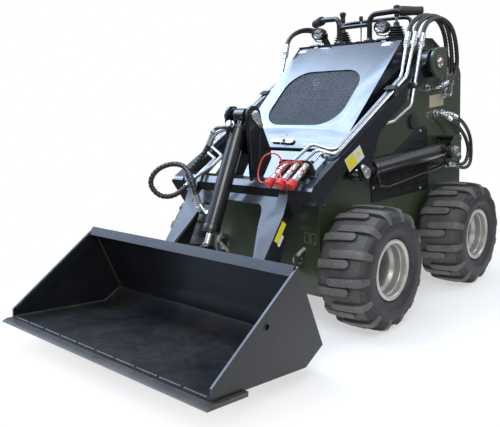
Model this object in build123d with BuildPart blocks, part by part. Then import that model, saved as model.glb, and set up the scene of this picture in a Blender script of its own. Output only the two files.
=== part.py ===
"""Compact wheeled skid steer loader with front boom, bucket and rear standing platform.

Millimetres, +Z up, ground at z = 0, machine front towards -Y, its left side towards +X.
Every y in the tables below is measured from the front axle; DY places the front axle in
the part's frame, whose origin is under the middle of the whole machine.
"""
import math
import os

from build123d import *

os.makedirs("parts", exist_ok=True)

# ------------------------------------------------------------------ driving dimensions
DY = -179.1                 # front axle in the part's frame
WHEELBASE = 731.0
TYRE_R = 231.5              # 18 x 8.50-8 tyre, over the lugs
TYRE_X = (310.0, 526.0)     # inner and outer sidewall
RIM_R = 101.6               # 8 inch bead seat
FLANGE_R = 115.0
HUB_BORE_R = 25.05
NOSE_R = 25.0

PANEL_X = (289.0, 295.0)    # chassis side plate, inner and outer face
FRONT_Y = -160.0            # chassis front plate
REAR_Y = 1000.0
BELLY_Z = 130.0

ARM_X = (310.0, 365.0)      # boom side beam
BRACKET_X = (388.0, 400.0)  # outer plates that carry the boom and cylinder pins
PIVOT = (568.0, 998.0)      # boom pivot A (y, z)
LIFT_BASE = (731.0, 610.0)  # lift cylinder base pin B
LIFT_EYE = (42.0, 579.0)    # lift rod pin R on the boom
TILT_BASE = (-235.0, 807.0)  # tilt cylinder base pin on the boom
TILT_EYE = (-460.0, 322.0)  # tilt rod pin on the quick-attach plate
BUCKET_PIN = (-426.0, 209.0)  # bucket hinge on the boom legs
PIN_R = 20.0
RUN = 0.05                  # radial running clearance of pins

LEG_X = (218.0, 264.0)      # lower boom legs
BUCKET_X = 535.0            # bucket half width
BUCKET_SIDE = 8.0
BUCKET_WALL = 6.0
EDGE_X = 552.0              # cutting edge half width
HOOD_X = 283.0
HOOD_HINGE = (466.0, 1106.0)
STEP_HINGE = (1022.0, 196.0)

CYL_X = 0.5 * (ARM_X[0] + ARM_X[1])


# ------------------------------------------------------------------ small helpers
def at(y, z):
    return (y + DY, z)


def span(side, a, b):
    """x range a..b on the left side (+1) or its mirror on the right (-1)."""
    return (a, b) if side > 0 else (-b, -a)


def plate_x(points, x0, x1, mode=Mode.ADD, r=0.0):
    """Prism along X of an outline given as (y, z) points."""
    with BuildSketch(Plane.YZ.offset(x0)) as sk:
        with BuildLine():
            Polyline(*[at(y, z) for y, z in points], close=True)
        make_face()
        if r > 0:
            fillet(sk.vertices(), r)
    extrude(sk.sketch, amount=x1 - x0, mode=mode)


def plate_y(points, y0, y1, mode=Mode.ADD, r=0.0):
    """Prism along Y of an outline given as (x, z) points."""
    with BuildSketch(Plane.XZ.offset(-(y1 + DY))) as sk:
        with BuildLine():
            Polyline(*points, close=True)
        make_face()
        if r > 0:
            fillet(sk.vertices(), r)
    extrude(sk.sketch, amount=y1 - y0, mode=mode)


def plate_z(points, z0, z1, mode=Mode.ADD, r=0.0):
    """Prism along Z of an outline given as (x, y) points."""
    with BuildSketch(Plane.XY.offset(z0)) as sk:
        with BuildLine():
            Polyline(*[(x, y + DY) for x, y in points], close=True)
        make_face()
        if r > 0:
            fillet(sk.vertices(), r)
    extrude(sk.sketch, amount=z1 - z0, mode=mode)


def block(x0, x1, y0, y1, z0, z1, mode=Mode.ADD):
    plate_z([(x0, y0), (x1, y0), (x1, y1), (x0, y1)], z0, z1, mode)


def disc_x(y, z, r, x0, x1, mode=Mode.ADD):
    """Round bar along X."""
    with BuildSketch(Plane.YZ.offset(x0)) as sk:
        with Locations(at(y, z)):
            Circle(r)
    extrude(sk.sketch, amount=x1 - x0, mode=mode)


def bar(p0, p1, r, mode=Mode.ADD):
    """Round bar between two (x, y, z) points."""
    a, b = Vector(p0[0], p0[1] + DY, p0[2]), Vector(p1[0], p1[1] + DY, p1[2])
    d = b - a
    with BuildSketch(Plane(origin=a, z_dir=d)) as sk:
        Circle(r)
    extrude(sk.sketch, amount=d.length, mode=mode)


def corner_radii(points, share=0.45):
    """Largest tangent arcs that a route's runs allow, one for each inner point."""
    vs = [Vector(*p) for p in points]
    out = []
    for a, b, c in zip(vs, vs[1:], vs[2:]):
        turn = math.radians((b - a).get_angle(c - b))
        out.append(share * min((b - a).length, (c - b).length) / math.tan(turn / 2))
    return out


def pipe(points, r, radii=None, mode=Mode.ADD):
    """Round tube or hose along straight runs joined by tangent arcs."""
    pts = [(x, y + DY, z) for x, y, z in points]
    rad = radii if radii is not None else corner_radii(pts)
    with BuildLine() as path:
        if len(pts) > 2:
            FilletPolyline(*pts, radius=rad)
        else:
            Line(*pts)
    start = path.wires()[0]
    with BuildSketch(Plane(origin=start @ 0, z_dir=start % 0)) as sk:
        Circle(r)
    sweep(sk.sketch, path=start, mode=mode)
    return rad


def finish(builder, name):
    builder.part.label = name
    export_step(builder.part, f"parts/{name}.step")


def along(p, q, d):
    """(y, z) point at distance d from p towards q."""
    n = math.hypot(q[0] - p[0], q[1] - p[1])
    return (p[0] + (q[0] - p[0]) * d / n, p[1] + (q[1] - p[1]) * d / n)


SIDES = (("left", 1), ("right", -1))
WHEELS = (  # name, side, axle y
    ("front_left", 1, 0.0),
    ("front_right", -1, 0.0),
    ("rear_left", 1, WHEELBASE),
    ("rear_right", -1, WHEELBASE),
)

# ------------------------------------------------------------------ chassis
# crease line of the hood, top of the front plate to the console (y, z)
HOOD_LINE = [(8.0, 668.0), (63.0, 736.0), (456.0, 1096.0)]

for name, s in SIDES:
    x0, x1 = span(s, *PANEL_X)
    with BuildPart() as side_panel:
        plate_x([(FRONT_Y, BELLY_Z), (FRONT_Y, 520), (-4, 655), (62, 722), (474, 947),
                 (474, 1108), (705, 1115), (984, 988), (REAR_Y, 960), (REAR_Y, BELLY_Z)], x0, x1)
        # axle holes for the wheel motors
        for ay in (0.0, WHEELBASE):
            disc_x(ay, TYRE_R, 62, x0 - 1, x1 + 1, Mode.SUBTRACT)
    finish(side_panel, f"side_panel_{name}")

IN_X = PANEL_X[0]
with BuildPart() as chassis_pan:
    block(-IN_X, IN_X, FRONT_Y, REAR_Y, BELLY_Z, BELLY_Z + 8)            # belly plate
    block(-IN_X, IN_X, FRONT_Y, FRONT_Y + 8, BELLY_Z, 520)               # front plate
    block(-IN_X, IN_X, REAR_Y - 8, REAR_Y, BELLY_Z, 955)                 # rear plate
    # step hinge ears on the rear plate
    for x in (-225, -185, 175, 215):
        plate_x([(REAR_Y, 160), (STEP_HINGE[0] + 12, 180), (STEP_HINGE[0] + 12, 212),
                 (REAR_Y, 236)], x, x + 10)
        disc_x(STEP_HINGE[0], STEP_HINGE[1], 8 + RUN, x - 1, x + 11, Mode.SUBTRACT)
finish(chassis_pan, "chassis_pan")

with BuildPart() as front_deck:
    plate_x([(FRONT_Y, 520), (-4, 655), (10, 655), (10, 649), (-2, 649), (FRONT_Y + 8, 520)],
            -IN_X, IN_X)
finish(front_deck, "front_deck")

with BuildPart() as console_panel:
    plate_x([(474, 1108), (705, 1115), (984, 988), (1000, 960), (1000, 955), (992, 955),
             (978, 984), (703, 1108), (480, 1101), (480, 1060), (474, 1060)], -IN_X, IN_X)
    for x in (-215, 155):                                                  # hood hinge knuckles
        plate_x([(466, 1099), (484, 1096), (484, 1106), (466, 1113)], x, x + 22)
        disc_x(*HOOD_HINGE, 8, x, x + 22)
finish(console_panel, "console_panel")

# outer plates that carry the boom pins and the lift cylinder base pins, one weldment a side
PIVOT_PLATE = [(588, 1064), (642, 1064), (642, 935), (600, 928)]
BASE_PLATE = [(742, 676), (790, 676), (790, 560), (745, 560)]
with BuildPart() as pin_brackets:
    for _, s in SIDES:
        o0, o1 = span(s, *BRACKET_X)
        w0, w1 = span(s, PANEL_X[1], BRACKET_X[0])
        p0, p1 = span(s, PANEL_X[1], BRACKET_X[1] + 5)
        plate_x(PIVOT_PLATE + [(540, 940), (512, 975), (508, 1010), (530, 1040)], o0, o1)
        disc_x(*PIVOT, 62, o0, o1)
        plate_x([(590, 1056), (642, 1056), (642, 1064), (590, 1064)], w0, w1)
        plate_x([(634, 940), (642, 940), (642, 1056), (634, 1056)], w0, w1)
        disc_x(*PIVOT, PIN_R, p0, p1)
        disc_x(*PIVOT, 34, *span(s, PANEL_X[1], PANEL_X[1] + 6))
        plate_x(BASE_PLATE + [(700, 585), (694, 610), (702, 640)], o0, o1)
        disc_x(*LIFT_BASE, 40, o0, o1)
        plate_x([(743, 668), (790, 668), (790, 676), (743, 676)], w0, w1)
        plate_x([(782, 565), (790, 565), (790, 668), (782, 668)], w0, w1)
        disc_x(*LIFT_BASE, PIN_R, p0, p1)
        disc_x(*LIFT_BASE, 30, *span(s, PANEL_X[1], PANEL_X[1] + 8))
finish(pin_brackets, "pin_brackets")

with BuildPart() as engine_block:
    block(-200, 200, 170, 600, 240, 640)
finish(engine_block, "engine_block")

# wheel motors: housing inside the side plate, nose out through it
with BuildPart() as wheel_motors:
    for _, s, ay in WHEELS:
        disc_x(ay, TYRE_R, 60, *span(s, 190, 297))
        disc_x(ay, TYRE_R, 78, *span(s, PANEL_X[1], 303))
        disc_x(ay, TYRE_R, NOSE_R, *span(s, 300, 352))
finish(wheel_motors, "wheel_motors")

# black louvred covers on the side plates (y, z)
VENT = [(187, 435), (669, 435), (656, 700), (640, 722), (583, 724), (345, 618), (182, 571)]
with BuildPart() as vent_panels:
    for _, s in SIDES:
        plate_x(VENT, *span(s, PANEL_X[1], PANEL_X[1] + 3))
finish(vent_panels, "side_vent_panels")

LUG_HOLE_R = 14.0
LUG_X = (205.0, 217.0)
with BuildPart() as tie_down_lugs:
    for _, s in SIDES:
        for y0, y1, hy, zc in ((FRONT_Y - 42, FRONT_Y, FRONT_Y - 20, 262),
                               (REAR_Y, REAR_Y + 42, REAR_Y + 20, 330)):
            x0, x1 = span(s, *LUG_X)
            plate_x([(y0, zc - 24), (y1, zc - 34), (y1, zc + 34), (y0, zc + 24)], x0, x1)
            disc_x(hy, zc, LUG_HOLE_R, x0 - 1, x1 + 1, Mode.SUBTRACT)
finish(tie_down_lugs, "tie_down_lugs")

# ------------------------------------------------------------------ controls
with BuildPart() as handlebars:
    for _, s in SIDES:
        pipe([(s * 82, 516, 1110), (s * 84, 516, 1225), (s * 205, 550, 1232), (s * 300, 612, 1226)],
             12, radii=[34, 60])
    pipe([(-83, 516, 1182), (83, 516, 1182)], 9)
finish(handlebars, "handlebars")

with BuildPart() as joysticks:
    for _, s in SIDES:
        with BuildSketch(Plane.XY.offset(1114.5)) as boot:
            with Locations((s * 150, 637 + DY)):
                Circle(42)
        extrude(boot.sketch, amount=72, taper=14)
        bar((s * 150, 637, 1180), (s * 150, 640, 1232), 7)
        with Locations((s * 150, 640 + DY, 1250)):
            Cylinder(19, 44)
finish(joysticks, "joysticks")

with BuildPart() as work_lights:
    for _, s in SIDES:
        bar((s * 173, 462, 1161), (s * 173, 506, 1161), 33)
        block(s * 173 - 10, s * 173 + 10, 486, 498, 1109, 1135)
finish(work_lights, "work_lights")

# ------------------------------------------------------------------ hood, hinged along its top edge
with BuildPart() as hood:
    (y0, z0), (y1, z1), (y2, z2) = HOOD_LINE
    lower = [(y0 + 4, z0 - 6), (y1 + 3, z1 - 6), (y2 + 1, z2 - 6)]
    plate_x([(y0, z0), (y1, z1), (y2, z2)] + lower[::-1], -HOOD_X, HOOD_X)
    for _, s in SIDES:                                                     # side skirts
        plate_x([(y0, z0), (y1, z1), (y2, z2), (468, 1060), (468, 932), (62, 710), (y0 + 15, z0 - 6)],
                *span(s, HOOD_X - 4, HOOD_X))
    for x in (-190, 180):                                                  # hinge knuckles
        plate_x([(y2 - 6, z2 - 4), (y2, z2), (y2 + 8, z2 + 12), (y2 + 8, z2)], x, x + 22)
        disc_x(*HOOD_HINGE, 8, x, x + 22)
    # air opening under the mesh
    slope = math.atan2(z2 - z1, y2 - y1)
    up = 196.0                                                             # middle, above the knee
    mid = Vector(-7, y1 + up * math.cos(slope) + DY, z1 + up * math.sin(slope))
    grille_plane = Plane(origin=mid, x_dir=(1, 0, 0), z_dir=(0, -math.sin(slope), math.cos(slope)))
    with BuildSketch(grille_plane) as opening:
        RectangleRounded(400, 334, 108)
    extrude(opening.sketch, amount=30, both=True, mode=Mode.SUBTRACT)
finish(hood, "hood")

with BuildPart() as hood_grille:
    with BuildSketch(grille_plane.offset(-6.5)) as mesh_panel:
        RectangleRounded(424, 358, 118)
    extrude(mesh_panel.sketch, amount=-2)
finish(hood_grille, "hood_grille")

# ------------------------------------------------------------------ boom
ARM_OUTLINE = [(573, 1030), (-277, 566), (-290, 548), (-262, 500), (-236, 498), (-8, 652),
               (12, 560), (24, 548), (60, 548), (84, 592), (150, 730), (520, 932), (573, 945)]
for name, s in SIDES:
    x0, x1 = span(s, *ARM_X)
    with BuildPart() as loader_arm:
        plate_x(ARM_OUTLINE, x0, x1)
        disc_x(*PIVOT, 52, x0, x1)
        disc_x(*PIVOT, PIN_R + RUN, x0 - 1, x1 + 1, Mode.SUBTRACT)
        # slot between the two lug plates for the rod's eye
        plate_x([(-60, 640), (-10, 610), (-2, 540), (200, 520), (260, 655), (160, 650)],
                *span(s, ARM_X[0] + 11, ARM_X[1] - 11), mode=Mode.SUBTRACT)
        disc_x(*LIFT_EYE, 24, *span(s, ARM_X[1], ARM_X[1] + 7))
    finish(loader_arm, f"loader_arm_{name}")

LEG = [(-283, 549), (-322, 466), (-441, 313), (-463, 250), (-464, 212), (-450, 181),
       (-418, 172), (-392, 192), (-355, 285), (-277, 433), (-236, 500), (-236, 549)]
with BuildPart() as boom_front:
    # cross beam between the side beams
    plate_x([(-283, 549), (-258, 572), (-198, 572), (-198, 512), (-262, 500), (-283, 520)],
            -ARM_X[0], ARM_X[0])
    for _, s in SIDES:
        x0, x1 = span(s, *LEG_X)
        plate_x(LEG, x0, x1)
        disc_x(*BUCKET_PIN, 16 + RUN, x0 - 1, x1 + 1, Mode.SUBTRACT)
        # outer gusset from leg to side beam
        plate_y([(s * 264, 551), (s * 364, 551), (s * 364, 540), (s * 264, 432)], -298, -290.1)
    # arched front plate between the legs: sheet along the leg's front edge, opening cut out
    n = Vector(0, -(466 - 313), -322 + 441).normalized()
    arch_plane = Plane(origin=(0, -322 + DY, 466), x_dir=(1, 0, 0), z_dir=n)
    with BuildSketch(arch_plane) as arch:
        with BuildLine():
            Polyline((-220, 80), (220, 80), (220, -185), (214, -185), (172, -60), (160, -8),
                     (153, 12), (140, 27), (120, 34), (-120, 34), (-140, 27), (-153, 12),
                     (-160, -8), (-172, -60), (-214, -185), (-220, -185), close=True)
        make_face()
    extrude(arch.sketch, amount=-10)
finish(boom_front, "boom_front")

with BuildPart() as tilt_bracket:
    for x in (-60, 48):
        plate_x([(-262, 572), (-272, 790), (-268, 825), (-252, 843), (-222, 843), (-203, 825),
                 (-190, 762), (-150, 676), (-147, 642), (-198, 572)], x, x + 12)
    for x in (-64, 60):                                                    # doubler plates at the pin
        plate_x([(-258, 606), (-268, 790), (-264, 821), (-249, 838), (-226, 838), (-210, 821),
                 (-212, 740), (-222, 606), (-232, 592), (-248, 592)], x, x + 4)
    disc_x(*TILT_BASE, 14, -70, 70)
finish(tilt_bracket, "tilt_bracket")

# steel tubes clipped along the side beams: x, y, z of each bend, from the hose collars forward


def beam_top(y, up):
    """Height of the side beam's top face at y, plus up."""
    return 566 + (y + 277) * (1030 - 566) / (573 + 277) + up


TUBE_R = 7.0
TUBES = {
    1: (([(330, 424, 1110), (330, 368, 941), (330, -100, 673), (222, -100, 696), (212, -200, 640)],
         [46, 30, 20]),
        ([(352, 443, 1110), (352, 375, 943), (349, -125, 660), (268, -128, 678), (260, -200, 641)],
         [46, 26, 18]),
        ([(373, 469, 1104), (373, 402, 906), (373, 376, 822), (353, 270, 764), (339, 216, 755)],
         [80, 40, 14]),
        ([(309.9, -124, 651), (295, -124, 651), (300, -150, 669), (303, -200, 641)], [6, 12])),
    -1: (([(-330, 424, 1110), (-330, 368, 941), (-330, -100, 673), (-214, -150, 640),
           (-205, -218, 606), (-204, -336, 556), (-193.7, -351, 568.2)], [46, 30, 20, 20, 10]),
         ([(-352, 443, 1110), (-352, 375, 943), (-349, -125, 660), (-238, -168, 628),
           (-227, -228, 600), (-219, -330, 545)], [46, 26, 18, 20])),
}
for name, s in SIDES:
    with BuildPart() as arm_tubes:
        for route, bends in TUBES[s]:
            pipe(route, TUBE_R, radii=bends)
            if route[0][2] > 1000:                                         # hose collar
                a, b = Vector(*route[0]), Vector(*route[1])
                u = (b - a).normalized()
                bar(tuple(a - u * 0.5), tuple(a + u * 56), 10)
        for y in (278,):                                                   # clamp of the pair
            plate_x([(y - 12, beam_top(y - 12, 0.5)), (y + 12, beam_top(y + 12, 0.5)),
                     (y + 12, beam_top(y + 12, 30)), (y - 12, beam_top(y - 12, 30))],
                    *span(s, 320, 362))
        if s > 0:                                                          # clamp of the outer tube
            plate_x([(388, 892), (412, 892), (412, 914), (388, 914)], 365.1, 381)
    finish(arm_tubes, f"arm_tubes_{name}")

COUPLERS = ((212, -16), (260, -9), (303, -4))      # x at the plate, sideways lean to the cap
with BuildPart() as coupler_block:
    plate_y([(168, 572.2), (174, 640), (182, 649), (312, 649), (326, 640), (338, 614), (336, 594),
             (309.5, 594), (309.5, 572.2)], -234, -228)
    plate_x([(-228, 572.2), (-228, 640), (-206, 572.2)], 168, 174)
    for x, lean in COUPLERS:
        bar((x, -227, 636), (x + 0.1 * lean, -238, 628), 11)
        bar((x + 0.1 * lean, -238, 628), (x + 0.6 * lean, -292, 591), 12)
        bar((x + 0.6 * lean, -292, 591), (x + lean, -338, 559), 15)
finish(coupler_block, "coupler_block")

# ------------------------------------------------------------------ hydraulic cylinders
# name, x, base pin, eye pin, tube r, rod r, tube length, eye half width
CYLINDERS = (
    ("lift", "left", CYL_X, LIFT_BASE, LIFT_EYE, 32.0, 16.0, 606.0, 14.0, 26.0),
    ("lift", "right", -CYL_X, LIFT_BASE, LIFT_EYE, 32.0, 16.0, 606.0, 14.0, 26.0),
    ("tilt", "", 0.0, TILT_BASE, TILT_EYE, 31.0, 14.0, 452.0, 17.0, 24.0),
)
for kind, side, cx, base, eye, tube_r, rod_r, tube_len, eye_w, base_w in CYLINDERS:
    tag = f"_{side}" if side else ""
    dist = math.hypot(eye[0] - base[0], eye[1] - base[1])
    pin_r = PIN_R if kind == "lift" else 14.0

    def on(d):
        y, z = along(base, eye, d)
        return (cx, y, z)

    bore_r = tube_r - 5
    with BuildPart() as barrel:
        first = 20 if kind == "lift" else 44                               # head of the tube
        bar(on(first), on(tube_len), tube_r)
        if kind == "tilt":
            bar(on(12), on(first + 4), 15)                                 # neck behind the eye
        bar(on(tube_len - 20), on(tube_len + 6), tube_r + 1.5)
        disc_x(*base, 32 if kind == "lift" else 28, cx - base_w, cx + base_w)
        if kind == "lift":                                                 # feed pipe and base elbow
            fx, ex = cx - math.copysign(9.5, cx), cx + math.copysign(10.5, cx)
            pipe([(fx, 797.4, 532.9), (fx, 764, 537), (fx, 640, 524), (fx, 272, 494), (fx, 204, 506),
                  (fx, 182, 566)], 6, radii=[40, 80, 26, 14])
            bar((fx, 797.4, 532.9), (fx, 774, 535.8), 9)
            pipe([(ex, 797.4, 535), (ex, 758, 540.7), (ex, 706, 586)], 6, radii=[22])
            bar((ex, 797.4, 535), (ex, 774, 538.4), 9)
        else:                                                              # hose elbows
            pipe([(-8, -286, 757), (-10, -311, 768), (-71.7, -309.5, 763.9), (-92, -316, 724)], 7,
                 radii=[10, 18])
            bar((-8, -286, 757), (-9.4, -304, 765), 11)
            pipe([(-24, -401, 453), (-72, -406, 456), (-79.6, -410.9, 496.6)], 7, radii=[16])
            bar((-24, -401, 453), (-44, -403, 454.3), 11)
        bar(on(46 if kind == "lift" else 53), on(tube_len - 24), bore_r, Mode.SUBTRACT)
        bar(on(tube_len - 30), on(tube_len + 10), rod_r + RUN, Mode.SUBTRACT)
        disc_x(*base, pin_r + RUN, cx - base_w - 1, cx + base_w + 1, Mode.SUBTRACT)
    finish(barrel, f"{kind}_barrel{tag}")

    with BuildPart() as rod:
        bar(on(74), on(110), bore_r - RUN)
        bar(on(74), on(dist - 14), rod_r)
        disc_x(*eye, 27, cx - eye_w, cx + eye_w)
    finish(rod, f"{kind}_rod{tag}")

# ------------------------------------------------------------------ bucket
BACK_TOP, BACK_CORNER = (-574.0, 379.0), (-465.0, 104.0)
FLOOR_REAR, FLOOR_FRONT, MOUTH_LOW = (-551.0, 59.0), (-937.0, 102.0), (-934.0, 138.0)


def inset(points, d):
    """Open chain moved by d to its right-hand side, corners mitred."""
    out = []
    for i, p in enumerate(points):
        dirs = []
        for a, b in ((i - 1, i), (i, i + 1)):
            if 0 <= a and b < len(points):
                u = Vector(points[b][0] - points[a][0], points[b][1] - points[a][1], 0).normalized()
                dirs.append(u)
        n = sum((Vector(u.Y, -u.X, 0) for u in dirs), Vector(0, 0, 0)).normalized()
        k = d / n.dot(Vector(dirs[0].Y, -dirs[0].X, 0))
        out.append((p[0] + n.X * k, p[1] + n.Y * k))
    return out


shell = [FLOOR_FRONT, FLOOR_REAR, BACK_CORNER, BACK_TOP]
inner = inset(shell, -BUCKET_WALL)
with BuildPart() as bucket:
    xi = BUCKET_X - BUCKET_SIDE
    plate_x(shell + inner[::-1], -xi, xi)
    # folded lip along the top of the back
    plate_x([BACK_TOP, inner[-1], (-594, 352), (-600, 354), (-582, 383)], -xi, xi)
    for _, s in SIDES:
        x0, x1 = span(s, xi, BUCKET_X)
        plate_x([MOUTH_LOW] + shell, x0, x1)
        disc_x(-718, 238, 9, x0 - 1, x1 + 1, Mode.SUBTRACT)
finish(bucket, "bucket")

floor_dir = Vector(FLOOR_FRONT[0] - FLOOR_REAR[0], FLOOR_FRONT[1] - FLOOR_REAR[1], 0).normalized()
with BuildPart() as cutting_edge:
    fx, fz = floor_dir.X, floor_dir.Y
    nx, nz = (-fz, fx) if fx < 0 else (fz, -fx)                          # below the floor
    if nz > 0:
        nx, nz = -nx, -nz

    def below(d, h):
        return (FLOOR_FRONT[0] + fx * d + nx * h, FLOOR_FRONT[1] + fz * d + nz * h)

    plate_x([below(-120, 0.1), below(12, 0.1), below(32, 9), below(30, 12), below(-120, 12)],
            -EDGE_X, EDGE_X)
finish(cutting_edge, "cutting_edge")

# quick-attach plate behind the bucket's back, with its ears
back_dir = Vector(BACK_CORNER[0] - BACK_TOP[0], BACK_CORNER[1] - BACK_TOP[1], 0).normalized()
back_n = Vector(-back_dir.Y, back_dir.X, 0)
if back_n.X < 0:
    back_n = back_n * -1


def behind(d, h):
    """(y, z) at d down the bucket's back and h behind it."""
    return (BACK_TOP[0] + back_dir.X * d + back_n.X * h, BACK_TOP[1] + back_dir.Y * d + back_n.Y * h)


with BuildPart() as quick_attach:
    plate_x([behind(14, 0.1), behind(272, 0.1), behind(272, 13), behind(14, 13)], -290, 290)
    for x in (-276, -214, 204, 266):                                       # boom leg ears
        plate_x([behind(132, 13), behind(262, 13), (BUCKET_PIN[0] + 12, BUCKET_PIN[1] - 34),
                 (BUCKET_PIN[0] + 34, BUCKET_PIN[1]), (BUCKET_PIN[0] + 20, BUCKET_PIN[1] + 30),
                 (BUCKET_PIN[0] - 6, BUCKET_PIN[1] + 38)], x, x + 10)
    for _, s in SIDES:
        disc_x(*BUCKET_PIN, 16, *span(s, 204, 276))
    for x in (-36, 22):                                                    # tilt rod ears
        plate_x([behind(20, 13), behind(130, 13), (TILT_EYE[0] + 22, TILT_EYE[1] - 26),
                 (TILT_EYE[0] + 30, TILT_EYE[1] + 4), (TILT_EYE[0] + 8, TILT_EYE[1] + 30)], x, x + 14)
finish(quick_attach, "quick_attach_plate")

with BuildPart() as lock_levers:
    for _, s in SIDES:
        a, b = behind(150, 13.1), behind(150, 50)
        c, d = behind(96, 52), behind(62, 47)
        pipe([(s * 160, a[0], a[1]), (s * 160, b[0], b[1]), (s * 172, c[0], c[1]),
              (s * 186, d[0], d[1])], 8, radii=[18, 14])
finish(lock_levers, "lock_levers")

# ------------------------------------------------------------------ wheels
TYRE_PROFILE = [  # x from the tyre's middle, radius
    (-84.9, RIM_R), (-84.9, 117), (-97, 124), (-108, 150), (-108, 182), (-98, 212), (-84, 226),
    (-40, 231.5), (40, 231.5), (84, 226), (98, 212), (108, 182), (108, 150), (97, 124),
    (84.9, 117), (84.9, RIM_R)]
TYRE_CAVITY = [(-72, RIM_R), (-72, 120), (-84, 132), (-95, 154), (-95, 180), (-84, 204), (-60, 214),
               (60, 214), (84, 204), (95, 180), (95, 154), (84, 132), (72, 120), (72, RIM_R)]
RIM_PROFILE = [  # x outwards from the inner flange, radius
    (0, FLANGE_R), (6, FLANGE_R), (6, RIM_R - 0.1), (60, RIM_R - 0.1), (70, 88), (110, 88),
    (122, RIM_R - 0.1), (176, RIM_R - 0.1), (176, FLANGE_R), (182, FLANGE_R), (184, 108),
    (182, 97), (124, 96), (112, 82), (66, 82), (58, 96), (30, 90), (24, 60), (24, HUB_BORE_R + 14),
    (50, HUB_BORE_R + 14), (56, HUB_BORE_R + 8), (56, 0.0), (44, 0.0), (44, HUB_BORE_R),
    (4, HUB_BORE_R), (4, 66), (17, 66), (17, 94), (0, 98)]
RIM_IN = 327.0

for name, s, ay in WHEELS:
    axle = Axis((0, ay + DY, TYRE_R), (1, 0, 0))
    wheel_plane = Plane(origin=(0, ay + DY, TYRE_R), x_dir=(1, 0, 0), z_dir=(0, -1, 0))
    mid = s * 0.5 * (TYRE_X[0] + TYRE_X[1])
    with BuildPart() as tyre:
        with BuildSketch(wheel_plane):
            with BuildLine():
                Polyline(*[(mid + x, r) for x, r in TYRE_PROFILE], close=True)
            make_face()
            with BuildLine():
                Polyline(*[(mid + x, r) for x, r in TYRE_CAVITY], close=True)
            make_face(mode=Mode.SUBTRACT)
        revolve(axis=axle)
    finish(tyre, f"tyre_{name}")
    with BuildPart() as rim:
        with BuildSketch(wheel_plane):
            with BuildLine():
                Polyline(*[(s * (RIM_IN + x), r) for x, r in RIM_PROFILE], close=True)
            make_face()
        revolve(axis=axle)
        with Locations(Plane(origin=(s * (RIM_IN + 24), ay + DY, TYRE_R), z_dir=(s, 0, 0))):
            with PolarLocations(50, 4):
                Cylinder(7, 12, align=(Align.CENTER, Align.CENTER, Align.MIN))
    finish(rim, f"rim_{name}")

# ------------------------------------------------------------------ standing platform
with BuildPart() as step:
    y0 = STEP_HINGE[0] + 14
    block(-250, 250, y0, 1328, 168, 174)
    for _, s in SIDES:
        plate_x([(y0, 168), (1328, 168), (1328, 196), (y0, 214)], *span(s, 244, 250))
    block(-250, 250, y0, y0 + 6, 168, 214)
    for x in (-213, 187):                                                  # hinge ears
        plate_x([(y0, 176), (STEP_HINGE[0], 182), (STEP_HINGE[0] - 13, 190),
                 (STEP_HINGE[0] - 13, 202), (STEP_HINGE[0], 210), (y0, 214)], x, x + 26)
        disc_x(*STEP_HINGE, 8, x - 16, x + 42)
    for xa, xb in ((-230, -213.5), (-186.5, -170), (170, 186.5), (213.5, 230)):   # room for the chassis ears
        block(xa, xb, y0 - 1, y0 + 8, 160, 220, Mode.SUBTRACT)
finish(step, "stand_platform")

# ------------------------------------------------------------------ hoses
HOSE_R = 9.5                # boom and tilt hoses
LIFT_HOSE_R = 8.5
# x, y, z of each route point; every loop leaves a collar on the boom and ends on the side plate
BOOM_HOSES = (
    [(330, 424.5, 1111.4), (330, 437.6, 1151), (330, 520, 1194), (328, 617, 1207), (326, 710, 1187),
     (324, 771, 1126), (322, 794, 1040), (320, 801, 963)],
    [(352, 443.6, 1111.4), (352, 461.6, 1155.7), (352, 554, 1196), (350, 654, 1201), (348, 741, 1171),
     (345, 785, 1096), (342, 809, 1010), (340, 807, 938)],
    [(373, 469.5, 1105.4), (373, 486, 1154), (372, 576, 1188), (370, 676, 1188), (367, 760, 1153),
     (364, 803, 1082), (361, 823, 990), (358, 795, 934), (356, 704, 910)],
)
# elbow adaptors on the side plate, where those hoses end
HOSE_STUBS = (
    [(320, 801, 962.4), (320, 800, 884), (295.1, 800, 884)],
    [(340, 807, 937.4), (340, 806, 858), (295.1, 806, 858)],
    [(356, 703.4, 909.8), (352, 650, 892), (295.1, 650, 892)],
)
LIFT_HOSES = (
    [(330, 856, 760), (330, 925, 741), (330, 993, 701), (329, 1046, 646), (328, 1060, 580),
     (328, 1052, 510), (328, 980, 494), (328, 885, 522), (328, 799, 532.7)],
    [(338, 784, 755), (340, 847, 730), (343, 904, 694), (346, 957, 648), (348, 988, 588),
     (348, 958, 530), (348, 888, 522), (348, 799, 534.8)],
)
LIFT_STUBS = (
    [(330, 855.4, 760.2), (330, 796, 777), (295.1, 796, 777)],
    [(338, 783.4, 755.2), (338, 728, 777), (295.1, 728, 777)],
)
TILT_HOSES = (
    [(-92.6, -316.2, 722.8), (-113, -323.5, 683.4), (-134, -344, 646), (-156, -366, 612),
     (-179.6, -371.5, 585), (-193, -352, 569)],
    [(-218.9, -331.4, 544.3), (-216, -368, 524.4), (-234, -408, 502), (-268, -446, 508),
     (-296, -466, 556), (-276, -450, 606), (-234, -416, 632), (-186, -390, 630), (-140, -396, 606),
     (-105, -412, 578), (-88.8, -416.7, 545), (-80.2, -411.2, 498.6)],
)
radii_seen = []
for name, s in SIDES:
    with BuildPart() as boom_hoses:
        for route in BOOM_HOSES if s > 0 else BOOM_HOSES[:2]:
            radii_seen += pipe([(s * x, y, z) for x, y, z in route], HOSE_R)
    finish(boom_hoses, f"boom_hoses_{name}")

with BuildPart() as lift_hoses:
    for _, s in SIDES:
        for route in LIFT_HOSES:
            radii_seen += pipe([(s * x, y, z) for x, y, z in route], LIFT_HOSE_R)
finish(lift_hoses, "lift_cylinder_hoses")

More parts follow.
